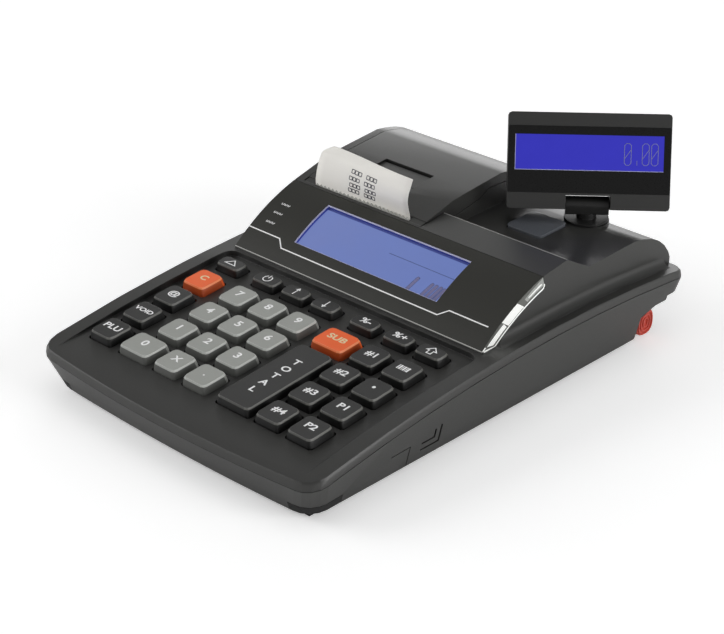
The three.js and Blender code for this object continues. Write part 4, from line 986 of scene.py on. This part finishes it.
def receipt():
    rows = len(left_edge)
    vertices = []
    for v in range(rows):
        for j in range(RECEIPT_COLUMNS + 1):
            vertices.append(on_receipt(j / RECEIPT_COLUMNS, v))
    width = RECEIPT_COLUMNS + 1
    faces = [
        (i * width + j, i * width + j + 1, (i + 1) * width + j + 1, (i + 1) * width + j)
        for i in range(rows - 1)
        for j in range(RECEIPT_COLUMNS)
    ]
    piece = new_piece("printed_receipt", vertices, faces, "body", [materials["paper"]], smooth=True)
    solid = piece.modifiers.new("thickness", "SOLIDIFY")
    solid.thickness = RECEIPT_THICKNESS * MM
    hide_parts("receipt_strip")


receipt()

# Print on the receipt: heights are in millimetres, shares are of the paper's width
PRINT_ROWS = (57.2, 59.7, 62.6, 65.6)
PRINT_HEIGHT = 1.5
PRINT_SPLIT = 3
PRINT_LINE = 0.35
PRINT_LIFT = 0.05
COLUMN_SHARES = (0.36, 0.53)
WORD_SHARE = 0.12
STAGGER_SHARE = 0.012
BLOCK_SHARE = 0.8
ROW_START_SHARE = 0.25
ROW_STEP = 0.05


def row_at(u, z):
    """How far up the paper's edges the height z lies"""
    v = len(left_edge) * ROW_START_SHARE
    while v < len(left_edge) - 2 and on_receipt(u, v).z < z * MM:
        v += ROW_STEP
    return v


def receipt_print():
    """Rows of small outlined blocks"""
    lines = []
    for k, z in enumerate(PRINT_ROWS):
        for column in COLUMN_SHARES:
            u0 = column + STAGGER_SHARE * (k % 2)
            low = row_at(u0, z)
            high = row_at(u0, z + PRINT_HEIGHT)
            for i in range(PRINT_SPLIT):
                left = u0 + WORD_SHARE * i / PRINT_SPLIT
                right = left + WORD_SHARE / PRINT_SPLIT * BLOCK_SHARE
                lines.append((rectangle(left, right, low, high), True))
    return lines


def print_lines(name, lines, width):
    """Lines on the receipt, whose width is in millimetres while the paper's own u and v are not"""
    vertices = []
    faces = []
    for points, closed in lines:
        path = points + [points[0]] if closed else points
        for (u0, v0), (u1, v1) in zip(path, path[1:]):
            a, b = on_receipt(u0, v0), on_receipt(u1, v1)
            along = (b - a).normalized()
            across = along.cross(Vector((0, -1, 0))).normalized() * width / 2 * MM
            lift = Vector((0, -PRINT_LIFT * MM, 0))
            start = len(vertices)
            vertices.extend([a + across + lift, a - across + lift, b - across + lift, b + across + lift])
            faces.append((start, start + 1, start + 2, start + 3))
    piece = new_piece(name, vertices, faces, "body", [grey_ink])
    solid = piece.modifiers.new("thickness", "SOLIDIFY")
    solid.thickness = PRINT_LIFT * MM


print_lines("receipt_print", receipt_print(), PRINT_LINE)

# Customer display
POST_X = 42.1
POST_Y = 207.7
TILT_HEIGHT = 55.4
SWIVEL = math.radians(40.8)
TILT = math.radians(21.7)
display_matrix = (
    Matrix.Translation(at(POST_X, POST_Y, TILT_HEIGHT))
    @ Matrix.Rotation(SWIVEL, 4, "Z")
    @ Matrix.Rotation(-TILT, 4, "X")
)
DISPLAY_FRONT = 6.5
PLATE_HALF = 35
PLATE_LOW = 4.9
PLATE_HIGH = 33.8
PLATE_LIFTS = (-0.5, 0.08)
SCREEN_HALF = 32
CUSTOMER_LOW = 14.8
CUSTOMER_HIGH = 30.1
SCREEN_LIFTS = (0.04, 0.12)
SCREEN_EDGE_WIDTH = 0.25
SCREEN_EDGE_LIFTS = (0.04, 0.14)


def on_display(u, v, lift):
    return display_matrix @ (Vector((u, -DISPLAY_FRONT - lift, v)) * MM)


display_body = body_of("customer_display_front")


def display_plate(name, outline, slot, lifts):
    """A flat piece on the customer display's front, with the look of its slot"""
    return patches(name, [outline], on_display, display_body, slot, materials[slot], *lifts)


def display_ribbons(name, lines, width, ink, lifts):
    ribbons(name, lines, width, on_display, display_body, "customer_screen", ink, *lifts)


window = rectangle(-PLATE_HALF, PLATE_HALF, PLATE_LOW, PLATE_HIGH)
plate = display_plate("customer_plate", window, "window", PLATE_LIFTS)
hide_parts("customer_display_window")
glass = rectangle(-SCREEN_HALF, SCREEN_HALF, CUSTOMER_LOW, CUSTOMER_HIGH)
display_plate("customer_screen_glass", glass, "customer_screen", SCREEN_LIFTS)
# A painted highlight along the screen's left, lower and right edges
lit_edge = [([glass[3], glass[0], glass[1]], False)]
display_ribbons("customer_screen_highlight", lit_edge, SCREEN_EDGE_WIDTH, lilac_highlight, SCREEN_EDGE_LIFTS)

DIGIT_WIDTH = 2.9
DIGIT_LOW = 17.4
DIGIT_HIGH = 26.8
DIGIT_LINE = 0.24
DIGIT_CUT_SHARE = 0.6
DIGIT_LIFTS = (0.1, 0.16)
DIGIT_PLACES = (16.5, 24.2, 28.1)
POINT_PLACE = 20.5
POINT_HEIGHT = 2
STROKE_CUTS = 3


def digit_lines():
    """Outlined noughts with a slanted stroke, and the point between them"""
    lines = []
    half = DIGIT_WIDTH / 2
    cut = half * DIGIT_CUT_SHARE
    for x in DIGIT_PLACES:
        outline = [
            (x - half, DIGIT_LOW + cut),
            (x - half + cut, DIGIT_LOW),
            (x + half - cut, DIGIT_LOW),
            (x + half, DIGIT_LOW + cut),
            (x + half, DIGIT_HIGH - cut),
            (x + half - cut, DIGIT_HIGH),
            (x - half + cut, DIGIT_HIGH),
            (x - half, DIGIT_HIGH - cut),
        ]
        lines.append((outline, True))
        inset = STROKE_CUTS * cut
        lines.append(([(x - half, DIGIT_LOW + inset), (x + half, DIGIT_HIGH - inset)], False))
    point = [(POINT_PLACE, DIGIT_LOW), (POINT_PLACE, DIGIT_LOW + POINT_HEIGHT)]
    lines.append((point, False))
    return lines


display_ribbons("customer_digits", digit_lines(), DIGIT_LINE, outline_ink, DIGIT_LIFTS)

# Key legends
DECK_SLOPE = math.radians(5.4)
TOP_TOLERANCE = 0.02
WORD_HEIGHT = 3.2
DIGIT_HEIGHT = 3.6
LEGEND_SHIFT = 1
LEGEND_SPREAD = 1.25
LEGEND_PROUD = 0.03
LEGEND_WEIGHT_SHARE = 0.036
LEGEND_LETTERS = 3
CAPITAL_SHARE = 0.69
SYMBOL_SHIFT = 0.2
SYMBOL_LINE = 0.5
SYMBOL_LIFTS = (-0.01, LEGEND_PROUD)


def key_plane(name):
    """The key's top face: x across, y up the slope, origin in its middle"""
    corners = [vertex.co / MM for vertex in frame["nodes"][name].data.vertices]
    normal = Vector((0, -math.sin(DECK_SLOPE), math.cos(DECK_SLOPE)))
    height = max(corner.dot(normal) for corner in corners)
    top = [corner for corner in corners if corner.dot(normal) > height - TOP_TOLERANCE]
    middle = [(min(corner[i] for corner in top) + max(corner[i] for corner in top)) / 2 for i in range(3)]
    return Matrix.Translation(Vector(middle) * MM) @ Matrix.Rotation(DECK_SLOPE, 4, "X")


def letters(text, height):
    """The outline of a text as a mesh, its middle at the origin, in millimetres"""
    curve = bpy.data.curves.new(text, "FONT")
    curve.body = text
    curve.size = height / CAPITAL_SHARE
    curve.offset = LEGEND_WEIGHT_SHARE * height
    curve.extrude = LEGEND_PROUD
    label = bpy.data.objects.new(text, curve)
    bpy.context.scene.collection.objects.link(label)
    bpy.context.view_layer.update()
    mesh = bpy.data.meshes.new_from_object(label.evaluated_get(bpy.context.evaluated_depsgraph_get()))
    bpy.data.objects.remove(label)
    middle = (min(v.co.x for v in mesh.vertices) + max(v.co.x for v in mesh.vertices)) / 2
    mesh.transform(Matrix.Translation((-middle, -height / 2, 0)))
    return mesh


def legend(key, text, ink, height=WORD_HEIGHT, shift=LEGEND_SHIFT, suffix="legend"):
    name = f"key_{key}"
    mesh = letters(text, height)
    spread = Matrix.Diagonal((LEGEND_SPREAD * MM, MM, MM, 1))
    mesh.transform(key_plane(name) @ Matrix.Translation((0, shift * MM, 0)) @ spread)
    mesh.materials.clear()
    mesh.materials.append(ink)
    piece = bpy.data.objects.new(f"{name}_{suffix}", mesh)
    bpy.context.scene.collection.objects.link(piece)
    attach(piece, body_of(name))


def symbol(key, lines, shapes=(), shift=SYMBOL_SHIFT):
    """A legend drawn with lines and filled shapes, in millimetres round the key's middle"""
    name = f"key_{key}"
    plane = key_plane(name)
    body = body_of(name)
    slot = slot_of(name)

    def placed(u, v, lift):
        return plane @ (Vector((u, v + shift, lift)) * MM)

    if lines:
        ribbons(f"{name}_symbol", lines, SYMBOL_LINE, placed, body, slot, white_ink, *SYMBOL_LIFTS)
    if shapes:
        patches(f"{name}_marks", shapes, placed, body, slot, white_ink, *SYMBOL_LIFTS)


WORDS = {
    "lookup": "PLU",
    "void": "VOID",
    "price": "@",
    "multiply": "X",
    "point": ".",
    "department_1": "#1",
    "department_2": "#2",
    "department_3": "#3",
    "department_4": "#4",
    "pay_1": "P1",
    "pay_2": "P2",
    "percent_minus": "%-",
    "percent_plus": "%+",
}
for key, word in WORDS.items():
    legend(key, word, white_ink, WORD_HEIGHT * min(1, LEGEND_LETTERS / len(word)))
for digit in "0123456789":
    legend(digit, digit, white_ink, DIGIT_HEIGHT)
for key, word in {"clear": "C", "subtotal": "SUB"}.items():
    legend(key, word, pale_ink)

TOTAL_PITCH = 6
TOTAL_WORD = "TOTAL"
for i, letter in enumerate(TOTAL_WORD):
    shift = (len(TOTAL_WORD) // 2 - i) * TOTAL_PITCH
    legend("total", letter, white_ink, shift=shift, suffix=f"letter_{i}")


def arc(radius, start, end, steps):
    """Points on an arc between two angles in degrees"""
    angles = [math.radians(start + (end - start) * i / steps) for i in range(steps + 1)]
    return [(radius * math.cos(angle), radius * math.sin(angle)) for angle in angles]


# Symbols: lines and filled outlines round the key's middle
FEED_TRIANGLE = [(-3, -1.3), (3, -1.3), (0, 1.9)]
POWER_RADIUS = 2.1
POWER_STEPS = 16
POWER_START = 120
POWER_END = 420
POWER_STROKE = [(0, 0.4), (0, 2.7)]
ARROW_STEM = [(0, -2.6), (0, 1.8)]
ARROW_HEAD = [(-1.2, 1), (1.2, 1), (0, 2.8)]
SHIFT_ARROW = [
    (-1.1, -2.1),
    (1.1, -2.1),
    (1.1, 0.1),
    (2.5, 0.1),
    (0, 2.6),
    (-2.5, 0.1),
    (-1.1, 0.1),
]
DOT_RADIUS = 0.8
DOT_STEPS = 11
DOT_END = 330
BARS = ((-3, 0.5), (-2.1, 0.9), (-0.8, 0.4), (0, 0.8), (1.2, 0.4), (1.9, 0.9))
BAR_HALF = 1.5


def turned(points):
    """The points after half a turn about the middle"""
    return [(-x, -y) for x, y in points]


symbol("feed", [(FEED_TRIANGLE, True)])
power_ring = arc(POWER_RADIUS, POWER_START, POWER_END, POWER_STEPS)
symbol("power", [(power_ring, False), (POWER_STROKE, False)])
symbol("up", [(ARROW_STEM, False)], [ARROW_HEAD])
symbol("down", [(turned(ARROW_STEM)[::-1], False)], [turned(ARROW_HEAD)])
symbol("shift", [(SHIFT_ARROW, True)])
symbol("dot", [], [arc(DOT_RADIUS, 0, DOT_END, DOT_STEPS)], shift=LEGEND_SHIFT)
code_bars = [rectangle(x, x + width, -BAR_HALF, BAR_HALF) for x, width in BARS]
symbol("barcode", [], code_bars, shift=LEGEND_SHIFT)

# A painted highlight: the thin bright line along the hood's crest, between the bulge and the hood's right
# wall
CREST_Y = 156.5
CREST_Z = 55.9
CREST_LEFT = 4.2
CREST_RIGHT = 71.8
CREST_WIDTH = 0.3
CREST_LIFTS = (-0.1, 0.05)


def on_crest(u, v, lift):
    return at(u, CREST_Y + v, CREST_Z + lift)


crest = [([(CREST_LEFT, 0), (CREST_RIGHT, 0)], False)]
ribbons("hood_crest_highlight", crest, CREST_WIDTH, on_crest, "body", "housing", edge_highlight, *CREST_LIFTS)

# Stage: floor, lamps and surroundings, in metres
FLOOR_SIZE = 6
FLOOR_COLOUR = "#fafafa"
FLOOR_ROUGHNESS = 0.9
FLOOR_GLOW = 0.35
WHITE = (1, 1, 1, 1)
AIM = (0, 0, 0.03)
REAR_AIM = (0, 0, 0.05)


def camera_ray(tree):
    return tree.nodes.new("ShaderNodeLightPath").outputs["Is Camera Ray"]


def floor_material():
    """Pale and plain, with a glow that only the camera sees"""
    material, tree, shader = new_material("floor")
    shader.inputs["Base Color"].default_value = rgb(FLOOR_COLOUR)
    shader.inputs["Roughness"].default_value = FLOOR_ROUGHNESS
    shader.inputs["Emission Color"].default_value = WHITE
    glow = ranged(tree, camera_ray(tree), 0, 1, 0, FLOOR_GLOW)
    tree.links.new(glow, shader.inputs["Emission Strength"])
    return material


bpy.ops.mesh.primitive_plane_add(size=FLOOR_SIZE)
floor = bpy.context.object
floor.name = "floor"
floor.data.materials.append(floor_material())


def lamp(name, place, target, size, power):
    """A round softbox at a place, turned to its target"""
    data = bpy.data.lights.new(name, "AREA")
    data.shape = "DISK"
    data.size = size
    data.energy = power
    light = bpy.data.objects.new(name, data)
    bpy.context.scene.collection.objects.link(light)
    light.location = place
    light.rotation_mode = "QUATERNION"
    light.rotation_quaternion = (Vector(target) - Vector(place)).to_track_quat("-Z", "Y")


lamp("left softbox", (-1.5, -1.1, 1), AIM, size=1.4, power=15)
lamp("right softbox", (1.7, 0.4, 0.6), AIM, size=1.2, power=14)
lamp("top softbox", (0.2, 0.1, 2.2), AIM, size=2, power=5.5)
lamp("rear softbox", (-1.1, 1.4, 0.35), REAR_AIM, size=1.2, power=6)

# The surroundings are brighter near the horizon than overhead, and plain white to the camera
HORIZON = 0.05
OVERHEAD = 0.35
HORIZON_LIGHT = 0.9
OVERHEAD_LIGHT = 0.3


def surroundings():
    world = bpy.data.worlds.new("world")
    bpy.context.scene.world = world
    world.use_nodes = True
    tree = world.node_tree
    background = tree.nodes["Background"]
    split = tree.nodes.new("ShaderNodeSeparateXYZ")
    tree.links.new(tree.nodes.new("ShaderNodeTexCoord").outputs["Generated"], split.inputs[0])
    light = ranged(tree, split.outputs["Z"], HORIZON, OVERHEAD, HORIZON_LIGHT, OVERHEAD_LIGHT)
    strength = tree.nodes.new("ShaderNodeMix")
    strength.data_type = "FLOAT"
    tree.links.new(camera_ray(tree), strength.inputs["Factor"])
    tree.links.new(light, strength.inputs[2])
    strength.inputs[3].default_value = 1
    background.inputs["Color"].default_value = WHITE
    tree.links.new(strength.outputs[0], background.inputs["Strength"])


surroundings()
bpy.context.scene.view_settings.view_transform = "Standard"
